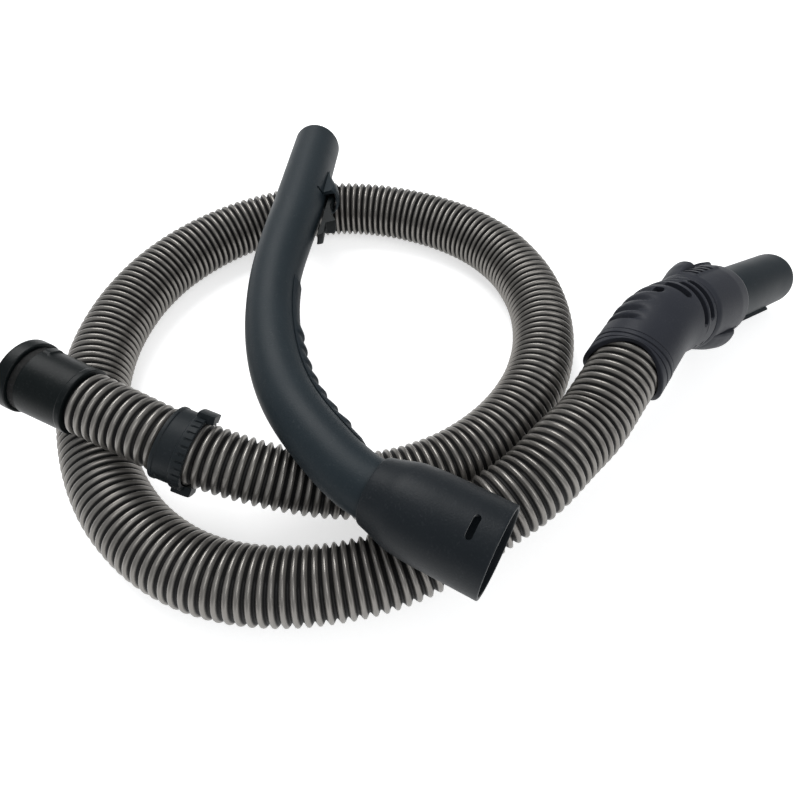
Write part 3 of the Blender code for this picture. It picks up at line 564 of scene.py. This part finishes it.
def repaint(node, finish):
    """A CAD node whose shape is right keeps its mesh and gets the better finish."""
    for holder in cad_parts[node].material_slots:
        holder.material = finish


for node, finish in (
    ("cuff_insert", black), ("cuff_seal", rubber), ("elbow_insert", black), ("swivel_washer", washer),
    ("socket_seal", rubber), ("lever_pin", steel), ("lever_spring", steel),
):
    repaint(node, finish)
print("seven inner nodes keep their solids")

# %% [markdown]
# ## The ribbed hose
#
# The real hose is blown in a corrugator, so every rib is the same broad round ridge with a narrow groove
# after it. A displacement or a bump map would leave its outline smooth, and the outline of a ribbed hose is
# what the eye looks for first. So each rib gets eight rows of its own. The bore needs far fewer. The height
# on the rib is stored as an attribute, which the finish reads to paint shade into the grooves as near black.

# %% Hose
RIBS = 254
ROWS = 8
HOSE_SIDES = 42
RIB_DEPTH = 0.0027
BORE_IN = 0.0035  # from the ribs' crests to the bore
BORE_ROWS = 110


def ridge(phase):
    """1 - |cos(pi phase)|³: a broad round crest at phase 1/2 and a narrow groove at 0 and 1."""
    return 1 - np.abs(np.cos(np.pi * phase)) ** 3


def make_hose():
    """r(s) = R(s) - depth (1 - ridge(s / pitch)), closed by a plain bore."""
    marks = np.linspace(0, 1, RIBS * ROWS + 1)
    crest = ridge(marks * RIBS)
    crest[0] = crest[-1] = 0.3
    s = marks * hose_line.length
    wave = 0.00007 * np.sin(s * 61) + 0.00005 * np.sin(s * 173 + 1)
    radius = hose_radius(s) - RIB_DEPTH * (1 - crest) + np.minimum(wave, 0)
    back = np.linspace(hose_line.length, 0, BORE_ROWS)
    s = np.concatenate([s, back])
    radius = np.concatenate([radius, hose_radius(back) - BORE_IN])
    degrees = np.linspace(0, 360, HOSE_SIDES, endpoint=False)
    grid = hose_line.place(s[:, None], radius[:, None], degrees[None])
    piece = skin("ribbed_hose", grid, True, sharp=85.0)
    # The bore gets 0, so the finish paints shade into it as near black, as in the grooves.
    height = np.concatenate([crest, np.zeros(BORE_ROWS)])
    values = np.repeat(height, HOSE_SIDES).astype(np.float32)
    attribute = piece.data.attributes.new("crest", "FLOAT", "POINT")
    attribute.data.foreach_set("value", values)
    return piece


hose = dress(make_hose(), "hose_run", "hose_grey", hose_finish, "hose")

# %% [markdown]
# ## The cuff
#
# The cuff snaps into the bell of a handle or a tube. It is a plain black sleeve with a thick round flange at
# its open end and a neck behind the flange, where a snap ring sits. Two small lugs stop it from turning.
# It is turned from one outline with a fine line near the hose, and a form raises the lugs.

# %% Cuff
CUFF_LENGTH = 0.038
cuff_start = placed(CUFF_END)
cuff_line = Line([cuff_start, cuff_start - unit(CUFF_HEADING) * CUFF_LENGTH])


def make_cuff():
    corners = [
        (0.0003, 0.0136), (0.0003, 0.0180, 0.0008), (0.0032, 0.0180, 0.0003),
        (0.0037, 0.0177, 0.0003), (0.0265, 0.0179, 0.0003), (0.0270, 0.0180, 0.0008),
        (0.0276, 0.0163, 0.0003), (0.0310, 0.0163, 0.0003), (0.0310, 0.0193, 0.0010),
        (CUFF_LENGTH, 0.0193, 0.0017), (CUFF_LENGTH, 0.0154, 0.0012), (0.0031, 0.0154), (0.0031, 0.0136),
    ]

    def form(s, radius, degrees):
        outside = radius > 0.0170
        around = hump(mitre(degrees, 48), -13, 13, 3) + hump(mitre(degrees, 228), -13, 13, 3)
        return s, radius + outside * 0.0009 * hump(s, 0.0225, 0.0264, 0.0004) * around

    return turned("cuff_sleeve", cuff_line, corners, 128, form=form, step=0.0008)


cuff = dress(make_cuff(), "cuff", "cuff_black", black, "cuff_body")

# %% [markdown]
# ## The lock collar
#
# The collar is clipped round the hose from two halves. Its front rim has short ticks for the fingers, and
# each half ends in a lug that snaps behind the other. The ticks are narrow valleys in the rim, so the form
# lowers the radius there.

# %% Collar
COLLAR_AT = 0.056
COLLAR_BACK = COLLAR_AT - 0.008
COLLAR_FRONT = COLLAR_AT + 0.008
SPLIT_ANGLE = -28.0
LUG_SPAN = 26.0


def make_collar_half(name, turn):
    low = float(hose_radius(COLLAR_AT)) + 0.0007
    high = low + 0.0019
    rim = high + 0.0006
    first, last = SPLIT_ANGLE + turn + 1.5, SPLIT_ANGLE + turn + 178.5
    corners = [
        (COLLAR_BACK, low, 0.0003), (COLLAR_BACK, high, 0.0005), (COLLAR_BACK + 0.0018, high, 0.0002),
        (COLLAR_BACK + 0.0021, high - 0.0004, 0.0002), (COLLAR_FRONT - 0.0060, high - 0.0004, 0.0003),
        (COLLAR_FRONT - 0.0055, rim, 0.0004), (COLLAR_FRONT, rim, 0.0006), (COLLAR_FRONT, low, 0.0003),
    ]

    def form(s, radius, degrees):
        lug = rise(degrees, last - LUG_SPAN - 1.2, last - LUG_SPAN)
        on_rim = rise(s, COLLAR_FRONT - 0.0062, COLLAR_FRONT - 0.0056) * (radius > low + 0.001)
        tick = hump(np.abs((degrees - first) % 11.0 - 5.5), -1, 1.3, 0.5) * (1 - lug)
        tick *= rise(s, COLLAR_FRONT - 0.0042, COLLAR_FRONT - 0.0036)
        pane = hump(s, COLLAR_BACK + 0.0035, COLLAR_BACK + 0.0085, 0.0003) * (radius > low + 0.001)
        window = pane * hump(degrees, first + 14, first + 34, 1.0)
        lift = 0.0022 * lug * on_rim - 0.0007 * tick * on_rim - 0.0007 * window
        push = 0.0035 * lug * rise(s, COLLAR_FRONT - 0.0010, COLLAR_FRONT)
        return s + push, radius + lift

    return turned(name, hose_line, corners, 264, (first, last), form=form, step=0.0006)


for name, node, turn in (
    ("collar_half_a", "lock_collar_front", 0.0), ("collar_half_b", "lock_collar_back", 180.0),
):
    dress(make_collar_half(name, turn), "lock_collar", "cuff_black", collar_black, node)

# %% [markdown]
# ## The machine end
#
# A ring holds the thick end of the hose. From it a barrel bends towards the machine. Rib bumps run over the
# outside of the bend and long air slots over its top, through which the duct inside shows black. The line of
# all of it is a straight run, an arc and another straight run down to the tip.

# %% Elbow line
BEND_RADIUS = 0.045
CORNER_AT = 0.033  # from the hose's end to where the two straight runs would meet
SPIGOT_REACH = 0.1380  # from there to the tip
SPIGOT_LEVEL = (0.819, 0.573)  # the spigot's heading, seen from above
SPIGOT_TIP = 0.0172  # radius


def elbow_path():
    """A straight run, an arc of 45 mm radius, and a straight run down to a tip that lies on the floor.

    The tip's middle is at height r run / reach, which in turn sets run, so four rounds settle both.
    """
    start = placed(ELBOW_END)
    corner = start + unit(ELBOW_HEADING) * CORNER_AT
    level = unit(SPIGOT_LEVEL)
    height = SPIGOT_TIP
    for _ in range(4):
        run = math.sqrt(SPIGOT_REACH**2 - (corner[2] - height) ** 2)
        height = SPIGOT_TIP * run / SPIGOT_REACH
    tip = np.array([corner[0] + level[0] * run, corner[1] + level[1] * run, height])
    into, out = unit(corner - start), unit(tip - corner)
    turn = math.acos(float(into @ out))
    first = corner - into * BEND_RADIUS * math.tan(turn / 2)
    inward = unit(out - into * (into @ out))
    sweep = np.linspace(0, turn, 120)[:, None]
    arc = first + inward * BEND_RADIUS + BEND_RADIUS * (np.sin(sweep) * into - np.cos(sweep) * inward)
    return Line(np.vstack([start, arc, tip]))


elbow_line = elbow_path()
print(f"elbow: {elbow_line.length:.4f} m from the hose's end to the tip")

# %% [markdown]
# ### Ring, barrel and duct
#
# The ring's mouth is cut in a wave, so that it reaches along the hose at both sides, and two grooves run
# round the ring. The rib bumps are valleys between crests that keep the barrel's full radius. They fade out
# round the barrel, as the real ones do, because the mould could not release them further round.

# %% Ring, barrel and duct
RIB_FIRST = 0.0185
RIB_STEP = 0.0066
RIB_COUNT = 6
BACK_ANGLE = 147.0  # the outside of the bend
SLOTS = ((0.0350, 104, 124), (0.0416, 72, 122), (0.0482, 22, 108), (0.0548, 28, 104))  # s, from, to
SLOT_WIDTH = 0.0042
WINDOWS = ((0.0488, -14), (0.0550, -12))  # small square holes: s and angle


def make_ring():
    corners = [
        (-0.010, 0.0202, 0.0002), (-0.010, 0.0229, 0.0010), (-0.0042, 0.0229, 0.0002),
        (-0.0039, 0.0223, 0.0002), (-0.0030, 0.0223, 0.0002), (-0.0027, 0.0229, 0.0002),
        (0.0010, 0.0229, 0.0002), (0.0013, 0.0222, 0.0002), (0.0021, 0.0222, 0.0002),
        (0.0024, 0.0229, 0.0002), (0.0050, 0.0229, 0.0005), (0.0050, 0.0202), (0.0090, 0.0202),
        (0.0090, 0.0187), (0.0031, 0.0187), (0.0031, 0.0158), (0.0003, 0.0158), (0.0003, 0.0202),
    ]

    def form(s, radius, degrees):
        """Before s = 0 the ring is drawn back to 1 mm + 9 mm cos² a."""
        reach = 0.001 + 0.009 * np.cos(np.radians(degrees)) ** 2
        return np.where(s < 0, s * reach / 0.010, s), radius

    return turned("elbow_mouth_ring", elbow_line, corners, 120, form=form, step=0.0010)


def rib_valleys(s, degrees):
    """The square of (1 - cos(2 pi (s - first) / step)) / 2, faded away from the bend's outside."""
    wave = (1 - np.cos(2 * np.pi * (s - RIB_FIRST) / RIB_STEP)) / 2
    start, end = RIB_FIRST - RIB_STEP / 2, RIB_FIRST + (RIB_COUNT - 0.5) * RIB_STEP
    along = rise(s, start - 0.0022, start) * (1 - rise(s, end, end + 0.0022))
    outside = (s < start) | (s > end)
    around = 1 - rise(np.abs(mitre(degrees, BACK_ANGLE)), 24, 50)
    return np.where(outside, 1.0, wave**2.0) * along * around


def make_barrel():
    corners = [
        (0.0053, 0.0205), (0.0053, 0.0226, 0.0006), (0.0597, 0.0223, 0.0005), (0.0597, 0.0195),
        (0.0093, 0.0195), (0.0093, 0.0205),
    ]

    def form(s, radius, degrees):
        outside = radius > 0.0215
        line = np.exp(-(((s - 0.0515) / 0.0006) ** 2)) * hump(degrees, 14, 112, 6)
        return s, radius + outside * (0.0003 * line - 0.0024 * rib_valleys(s, degrees))

    barrel = turned("elbow_barrel_skin", elbow_line, corners, 132, form=form, step=0.0006)
    tools = [slot_tool(elbow_line, s, SLOT_WIDTH, (low, high), (0.0175, 0.026)) for s, low, high in SLOTS]
    for s, angle in WINDOWS:
        tools.append(slot_tool(elbow_line, s, 0.0024, (angle - 4, angle + 4), (0.0208, 0.026), False))
    return carve(barrel, tools)


def make_duct():
    corners = [
        (0.0093, 0.0157), (0.0093, 0.0189), (0.0113, 0.0189), (0.0113, 0.0172, 0.0004),
        (0.0892, 0.0172, 0.0004), (0.0892, 0.0200), (0.0912, 0.0200), (0.0912, 0.0157),
    ]
    return turned("elbow_duct", elbow_line, corners, 72, step=0.002)


dress(make_ring(), "elbow", "elbow_charcoal", elbow_plastic, "elbow_ring")
dress(make_barrel(), "elbow", "elbow_charcoal", elbow_plastic, "elbow_barrel")
dress(make_duct(), "elbow", "cuff_black", black, "elbow_liner")

# %% [markdown]
# ### Housing, latch tabs and spigot
#
# In front of the bend a housing carries two latch tabs, which unlock the hose from the machine. Beside the
# upper tab there are four short dark bars, and the housing's front edge is raised into a block above and a
# small knob below. A smooth spigot with a guide rail comes out of it. The tabs ride on their own bodies,
# because they are pressed in.

# %% Housing, tabs and spigot
HOUSING_START = 0.0600
HOUSING_END = 0.1000
HOUSING_R = 0.0233
TAB_START = 0.0635
UPPER_TAB = dict(angle=149.0, span=36.0, rise=0.0066, crest=0.66)
LOWER_TAB = dict(angle=329.0, span=56.0, rise=0.0050, crest=0.76)
TAB_LENGTH = 0.0252
BARS = (0.0662, 0.0714, 0.0766, 0.0818)
NOTCH_AT, NOTCH_SPANS = 0.0978, ((75, 82), (31, 38))


def make_housing():
    corners = [
        (HOUSING_START, 0.0203), (HOUSING_START, 0.0223, 0.0006), (0.0630, HOUSING_R, 0.0012),
        (0.0880, HOUSING_R, 0.0010), (0.0960, 0.0226, 0.0010), (HOUSING_END, 0.0207, 0.0008),
        (HOUSING_END, 0.0181, 0.0003), (0.0950, 0.0181), (0.0950, 0.0203),
    ]

    def form(s, radius, degrees):
        outside = radius > 0.0205
        block = hump(s, 0.0905, 0.0975, 0.0009) * hump(mitre(degrees, 145), -17, 17, 3)
        knob = hump(s, 0.0952, 0.0974, 0.0005) * hump(mitre(degrees, -33), -6, 6, 3)
        shelf = hump(s, 0.0640, 0.0895, 0.0012) * hump(mitre(degrees, 119), -13, 13, 5)
        return s, radius + outside * (0.0022 * block + 0.0020 * knob + 0.0008 * shelf)

    housing = turned("elbow_housing_shell", elbow_line, corners, 144, form=form, step=0.0008)
    tools = []
    for tab in (UPPER_TAB, LOWER_TAB):
        half = tab["span"] / 2 + math.degrees(0.0008 / HOUSING_R)
        middle = TAB_START + TAB_LENGTH / 2
        span = (tab["angle"] - half, tab["angle"] + half)
        tools.append(slot_tool(elbow_line, middle, TAB_LENGTH + 0.0008, span, (0.0185, 0.0275), False))
    for s in BARS:
        tools.append(slot_tool(elbow_line, s, 0.0030, (105, 129), (0.0190, 0.027), False))
    for span in NOTCH_SPANS:
        tools.append(slot_tool(elbow_line, NOTCH_AT, 0.0026, span, (0.0195, 0.026), False))
    return carve(housing, tools)


def make_tab(name, angle, span, rise, crest):
    """A plate whose height over the housing follows five corners, less 45% at its sides."""
    end = TAB_START + TAB_LENGTH
    low = HOUSING_R - 0.0022
    top = HOUSING_R
    corners = [
        (TAB_START, low, 0.0003), (TAB_START, top - 0.0008, 0.0005),
        (TAB_START + 0.2 * crest * TAB_LENGTH, top + 0.24 * rise, 0.0015),
        (TAB_START + 0.6 * crest * TAB_LENGTH, top + 0.76 * rise, 0.0020),
        (TAB_START + crest * TAB_LENGTH, top + rise, 0.0006),
        (TAB_START + (crest + 0.05) * TAB_LENGTH, top + 0.86 * rise, 0.0004),
        (TAB_START + (crest + 0.10) * TAB_LENGTH, top + 0.35 * rise, 0.0006),
        (end, top + 0.12 * rise, 0.0005), (end, low, 0.0003),
    ]

    def form(s, radius, degrees):
        off = mitre(degrees, angle) / (span / 2)
        over = np.maximum(radius - top, 0)
        edge = 0.0006 * np.clip(np.abs(off) - 0.9, 0, 1) / 0.1 * (radius > top - 0.001)
        return s, radius - over * 0.45 * off**2 - edge

    return turned(name, elbow_line, corners, 40, (angle - span / 2, angle + span / 2), form=form, step=0.0008)


def make_spigot():
    end = elbow_line.length
    corners = [
        (0.0915, 0.0154), (0.0915, 0.0200), (0.0947, 0.0200), (0.0947, 0.01775), (end, SPIGOT_TIP, 0.0016),
        (end, 0.0154, 0.0010),
    ]
    return turned("spigot_tube", elbow_line, corners, 128, step=0.002)


def make_rail():
    """A bar 3 mm wide along the spigot, rounded at both ends."""
    start, end = 0.1043, 0.1483
    corners = [(start, 0.0170), (start, 0.01975, 0.0012), (end, 0.01975, 0.0012), (end, 0.0170)]
    return turned("spigot_rail", elbow_line, corners, 12, (-32.8, -23.2), step=0.001)


dress(make_housing(), "elbow", "elbow_charcoal", elbow_plastic, "elbow_housing")
dress(make_tab("latch_upper", **UPPER_TAB), "tab_upper", "elbow_charcoal", elbow_plastic, "latch_tab_upper")
dress(make_tab("latch_lower", **LOWER_TAB), "tab_lower", "elbow_charcoal", elbow_plastic, "latch_tab_lower")
dress(make_spigot(), "elbow", "spigot_slate", slate, "machine_spigot")
dress(make_rail(), "elbow", "spigot_slate", slate, "machine_spigot")

# %% [markdown]
# ## The handle
#
# The handle is one long tube. Its thin end is straight and takes the cleaner's wand, then it narrows into
# the grip and bends, and it ends in a bell that takes the cuff. Its line is smooth through six points and
# then straight to the bell's mouth.

# %% Handle line
HANDLE_LINE = [
    (-0.0681, 0.1397, 0.0366), (-0.0744, 0.0715, 0.0378), (-0.0711, 0.0195, 0.0390),
    (-0.0554, -0.0303, 0.0404), (-0.0345, -0.0610, 0.0416), (-0.0110, -0.0835, 0.0426),
]
WAND_HEADING = (-0.076, -1.0, 0.016)
WAND_REACH = 0.0761
SOCKET_MOUTH = (0.0410, -0.1132, 0.0440)
WAND_OD = 0.0328
GRIP_OD = 0.0290


def handle_path():
    points = [placed(point) for point in HANDLE_LINE]
    mouth = placed(SOCKET_MOUTH)
    bend = smooth_path(points, WAND_HEADING, unit(mouth - points[-1]))
    line = Line(np.vstack([points[0] - unit(WAND_HEADING) * WAND_REACH, bend, mouth]))
    return line, line.length - float(np.linalg.norm(mouth - points[-1]))


handle_line, SOCKET_START = handle_path()


def tube_radius(s):
    """Half of 32.8 mm up to 75 mm, blended to half of 29 mm at 185 mm."""
    return (WAND_OD + (GRIP_OD - WAND_OD) * rise(s, 0.075, 0.185)) / 2


print(f"handle: {handle_line.length:.4f} m, bell from {SOCKET_START:.4f}")

# %% [markdown]
# ### Tube, bell and finger strip
#
# Tube and bell are turned from plain outlines, with the radius along the tube given by the blend above. The
# strip on the inside of the bend has seven finger bumps like blunt saw teeth: a slow climb and a short drop.

# %% Tube, bell and strip
def make_tube():
    """r(s) is the tube's radius outside and 2 mm less inside; the open end is rounded over."""
    end = SOCKET_START + 0.012
    outside = np.linspace(0.0012, end, 260)
    inside = np.linspace(end, 0.0010, 90)
    lip = [(0.0010, -0.0018), (0.0004, -0.0015), (0.0, -0.0011), (0.0001, -0.0006), (0.0005, -0.0002)]
    s = np.concatenate([[mark for mark, _ in lip], outside, inside])
    radius = np.concatenate(
        [[tube_radius(0) + lower for _, lower in lip], tube_radius(outside), tube_radius(inside) - 0.0020]
    )
    degrees = np.linspace(0, 360, 96, endpoint=False)
    tube = skin("handle_tube_skin", handle_line.place(s[:, None], radius[:, None], degrees[None]), True)
    return carve(tube, [slot_tool(handle_line, 0.0712, 0.0020, (138, 166), (0.0152, 0.02))])


def make_bell():
    end = handle_line.length
    start = SOCKET_START
    corners = [
        (start, 0.0148), (start, 0.0163, 0.0005), (start + 0.0012, 0.0167, 0.0006),
        (start + 0.0070, 0.01815, 0.0030), (start + 0.0140, 0.02045, 0.0030),
        (start + 0.0205, 0.0211, 0.0040), (start + 0.0270, 0.0215, 0.0030),
        (end, 0.0215, 0.0007), (end, 0.0198, 0.0005),
        (start + 0.020, 0.0198), (start + 0.015, 0.0148),
    ]
    bell = turned("handle_bell", handle_line, corners, 144, step=0.0012)
    middle = end - 0.0115
    tools = [
        slot_tool(handle_line, middle, 0.0032, (angle - 15, angle + 15), (0.018, 0.024))
        for angle in (78, 258)
    ]
    return carve(bell, tools)


def saw(s, first, pitch, count):
    """A climb from 0 to 1 over 78% of each pitch and a drop over the rest, rounded off."""
    phase = (s - first) / pitch
    share = phase % 1
    tooth = np.where(share < 0.78, rise(share, -0.1, 0.80), 1 - rise(share, 0.76, 1.0))
    return np.where((phase > 0) & (phase < count), tooth, 0.0)


def make_strip():
    start, end = 0.158, 0.298
    outside = np.linspace(start, end, 420)
    inside = np.linspace(end, start, 40)
    low = tube_radius(np.concatenate([outside, inside])) + 0.0003
    s = np.concatenate([outside, inside])
    thick = np.concatenate([np.full(420, 1.0), np.zeros(40)])
    degrees = np.linspace(151, 209, 41)
    off = np.abs(degrees - 180)[None] / 29
    ends = hump(s, start + 0.004, end - 0.004, 0.004)[:, None]
    body = (0.0003 + 0.0008 * ends) * (1 - 0.75 * off**3)
    teeth = 0.0016 * saw(s, 0.1965, 0.0126, 7)[:, None] * np.clip(1 - off**2, 0, 1)
    radius = low[:, None] + thick[:, None] * (body + teeth)
    return skin("finger_strip", handle_line.place(s[:, None], radius, degrees[None]), False)


dress(make_tube(), "handle", "handle_charcoal", charcoal, "handle_tube")
# The bell takes the darker copy of the charcoal, which is painted shade.
dress(make_bell(), "handle", "handle_charcoal", bell_charcoal_painted_shade, "handle_socket")
dress(make_strip(), "handle", "grip_charcoal", grip, "grip_strip")

# %% [markdown]
# ### Hood and release lever
#
# On the thin end a small hood swells out of the tube. A hooked black lever comes out from under it on a
# steel pin. Pressing it lets the wand go. Hood and lever are short turned spans; the hood is hollowed from
# its front, so that the lever has room to move.

# %% Hood and lever
HOOD_ANGLE = 186.0
HOOD_SPAN = 51.0
HOOD_FROM = 0.044
HOOD_TO = 0.070
PIN_AT = 0.064
LEVER_SPAN = 22.0
seat = WAND_OD / 2 + 0.0003


def make_hood():
    top = WAND_OD / 2 + 0.0095
    corners = [
        (HOOD_FROM, seat), (HOOD_FROM, seat + 0.0005, 0.0003), (HOOD_FROM + 0.006, seat + 0.0024, 0.0030),
        (HOOD_FROM + 0.018, top - 0.0006, 0.0035), (HOOD_TO - 0.003, top, 0.0010),
        (HOOD_TO, top - 0.0009, 0.0006), (HOOD_TO, seat),
    ]
    low, high = HOOD_ANGLE - HOOD_SPAN / 2, HOOD_ANGLE + HOOD_SPAN / 2

    def form(s, radius, degrees):
        off = np.abs(mitre(degrees, HOOD_ANGLE)) / (HOOD_SPAN / 2)
        over = np.maximum(radius - seat - 0.0005, 0)
        return s, radius - over * 0.35 * off**4

    hood = turned("trigger_hood_skin", handle_line, corners, 48, (low, high), form=form, step=0.0008)
    cheek = math.degrees(0.0020 / seat)
    room = slot_tool(
        handle_line, HOOD_TO - 0.005, 0.013, (low + cheek, high - cheek), (seat - 0.001, top - 0.002), False
    )
    return carve(hood, [room])


def make_lever():
    tip, hook = PIN_AT + 0.047, PIN_AT + 0.030
    rise_at_pin = seat + 0.0038
    corners = [
        (PIN_AT - 0.005, rise_at_pin - 0.0015, 0.0004), (PIN_AT - 0.005, rise_at_pin + 0.0009, 0.0006),
        (PIN_AT - 0.002, rise_at_pin + 0.0019, 0.0006), (PIN_AT + 0.003, rise_at_pin + 0.0019, 0.0010),
        (PIN_AT + 0.015, rise_at_pin + 0.0005, 0.0030), (hook - 0.003, seat + 0.0088, 0.0015),
        (hook, seat + 0.0110, 0.0005), (hook + 0.0012, seat + 0.0110, 0.0004),
        (hook + 0.0036, seat + 0.0050, 0.0010), (tip - 0.0025, seat + 0.0057, 0.0012),
        (tip, seat + 0.0029, 0.0003), (tip, seat + 0.0019, 0.0003),
        (PIN_AT + 0.004, rise_at_pin - 0.0017, 0.0010),
    ]
    span = (HOOD_ANGLE - LEVER_SPAN / 2, HOOD_ANGLE + LEVER_SPAN / 2)
    return turned("release_lever_skin", handle_line, corners, 16, span, step=0.0010)


dress(make_hood(), "handle", "handle_charcoal", charcoal, "trigger_hood")
dress(make_lever(), "trigger", "cuff_black", black, "release_lever")

# %% [markdown]
# ## What the hose is
#
# The hose leaves the cuff and ends in the elbow, and it lies loose on the table. Here its line is only read
# every 4 mm and at the elbow's end.

hose_line.read(np.arange(0, hose_line.length, 0.004)).tolist() + [placed(ELBOW_END).tolist()]

# %% [markdown]
# ## Floor and light
#
# The photograph was taken on white. The floor is pale, and it shows white to the camera and in reflections
# because a little light of its own is added there. It still receives the soft shadow. Two large lamps above
# and a dim even world give a plain level, at which a colour renders about as it is written.

# %% Floor
def white_floor():
    """Pale paint, plus its own light for rays from the camera, mirrors and glass."""
    finish = Finish("floor", {"Base Color": (0.80, 0.80, 0.80, 1), "Roughness": 0.9})
    finish.feed({"Specular IOR Level": 0.1, "Emission Strength": 1.0})
    seen = finish.node("ShaderNodeLightPath", {}, {}, "Is Camera Ray")
    glossy = finish.node("ShaderNodeLightPath", {}, {}, "Is Glossy Ray")
    clear = finish.node("ShaderNodeLightPath", {}, {}, "Is Transmission Ray")
    glow = (seen + glossy + clear).clipped()
    finish.feed({"Emission Color": finish.between(glow, (0, 0, 0), (0.62, 0.62, 0.62))})
    return finish.material


def make_floor():
    """A disc of 64 corners, 6 m across, whose pattern needs no finer mesh."""
    turn = np.linspace(0, 2 * np.pi, 64, endpoint=False)
    rim = np.stack([3 * np.cos(turn), 3 * np.sin(turn), np.zeros(64)], axis=1)
    mesh = bpy.data.meshes.new("floor")
    mesh.from_pydata(rim.tolist(), [], [list(range(64))])
    mesh.materials.append(white_floor())
    floor = bpy.data.objects.new("floor", mesh)
    bpy.context.scene.collection.objects.link(floor)
    return floor


make_floor()


def make_world():
    """An even pale room: its light on surfaces is dim, and a camera or mirror sees it white."""
    world = bpy.data.worlds.new("room")
    world.use_nodes = True
    tree = world.node_tree
    background = tree.nodes["Background"]
    path = tree.nodes.new("ShaderNodeLightPath")
    mix = tree.nodes.new("ShaderNodeMix")
    mix.data_type = "RGBA"
    seen = tree.nodes.new("ShaderNodeMath")
    seen.operation = "MAXIMUM"
    tree.links.new(path.outputs["Is Camera Ray"], seen.inputs[0])
    tree.links.new(path.outputs["Is Transmission Ray"], seen.inputs[1])
    tree.links.new(seen.outputs[0], mix.inputs[0])
    mix.inputs[6].default_value = (0.42, 0.43, 0.44, 1)
    mix.inputs[7].default_value = (1, 1, 1, 1)
    tree.links.new(mix.outputs[2], background.inputs["Color"])
    bpy.context.scene.world = world


make_world()


def lamp(name, place, target, size, power):
    """A square soft lamp that looks from its place at a target."""
    data = bpy.data.lights.new(name, "AREA")
    data.shape = "SQUARE"
    data.size = size
    data.energy = power
    light = bpy.data.objects.new(name, data)
    aim = unit(np.array(target) - np.array(place))
    light.location = place
    level = math.atan2(aim[1], aim[0])
    light.rotation_euler = (math.acos(-aim[2]), 0, level - math.pi / 2)
    bpy.context.scene.collection.objects.link(light)
    print(f"{name}: {power} W, {size} m wide")


lamp("key_lamp", (-0.5, 0.9, 1.5), (0, 0, 0), 1.2, 26.0)
lamp("front_lamp", (0.9, -1.1, 1.5), (0, 0, 0), 1.4, 12.0)
bpy.context.scene.view_settings.view_transform = "Standard"
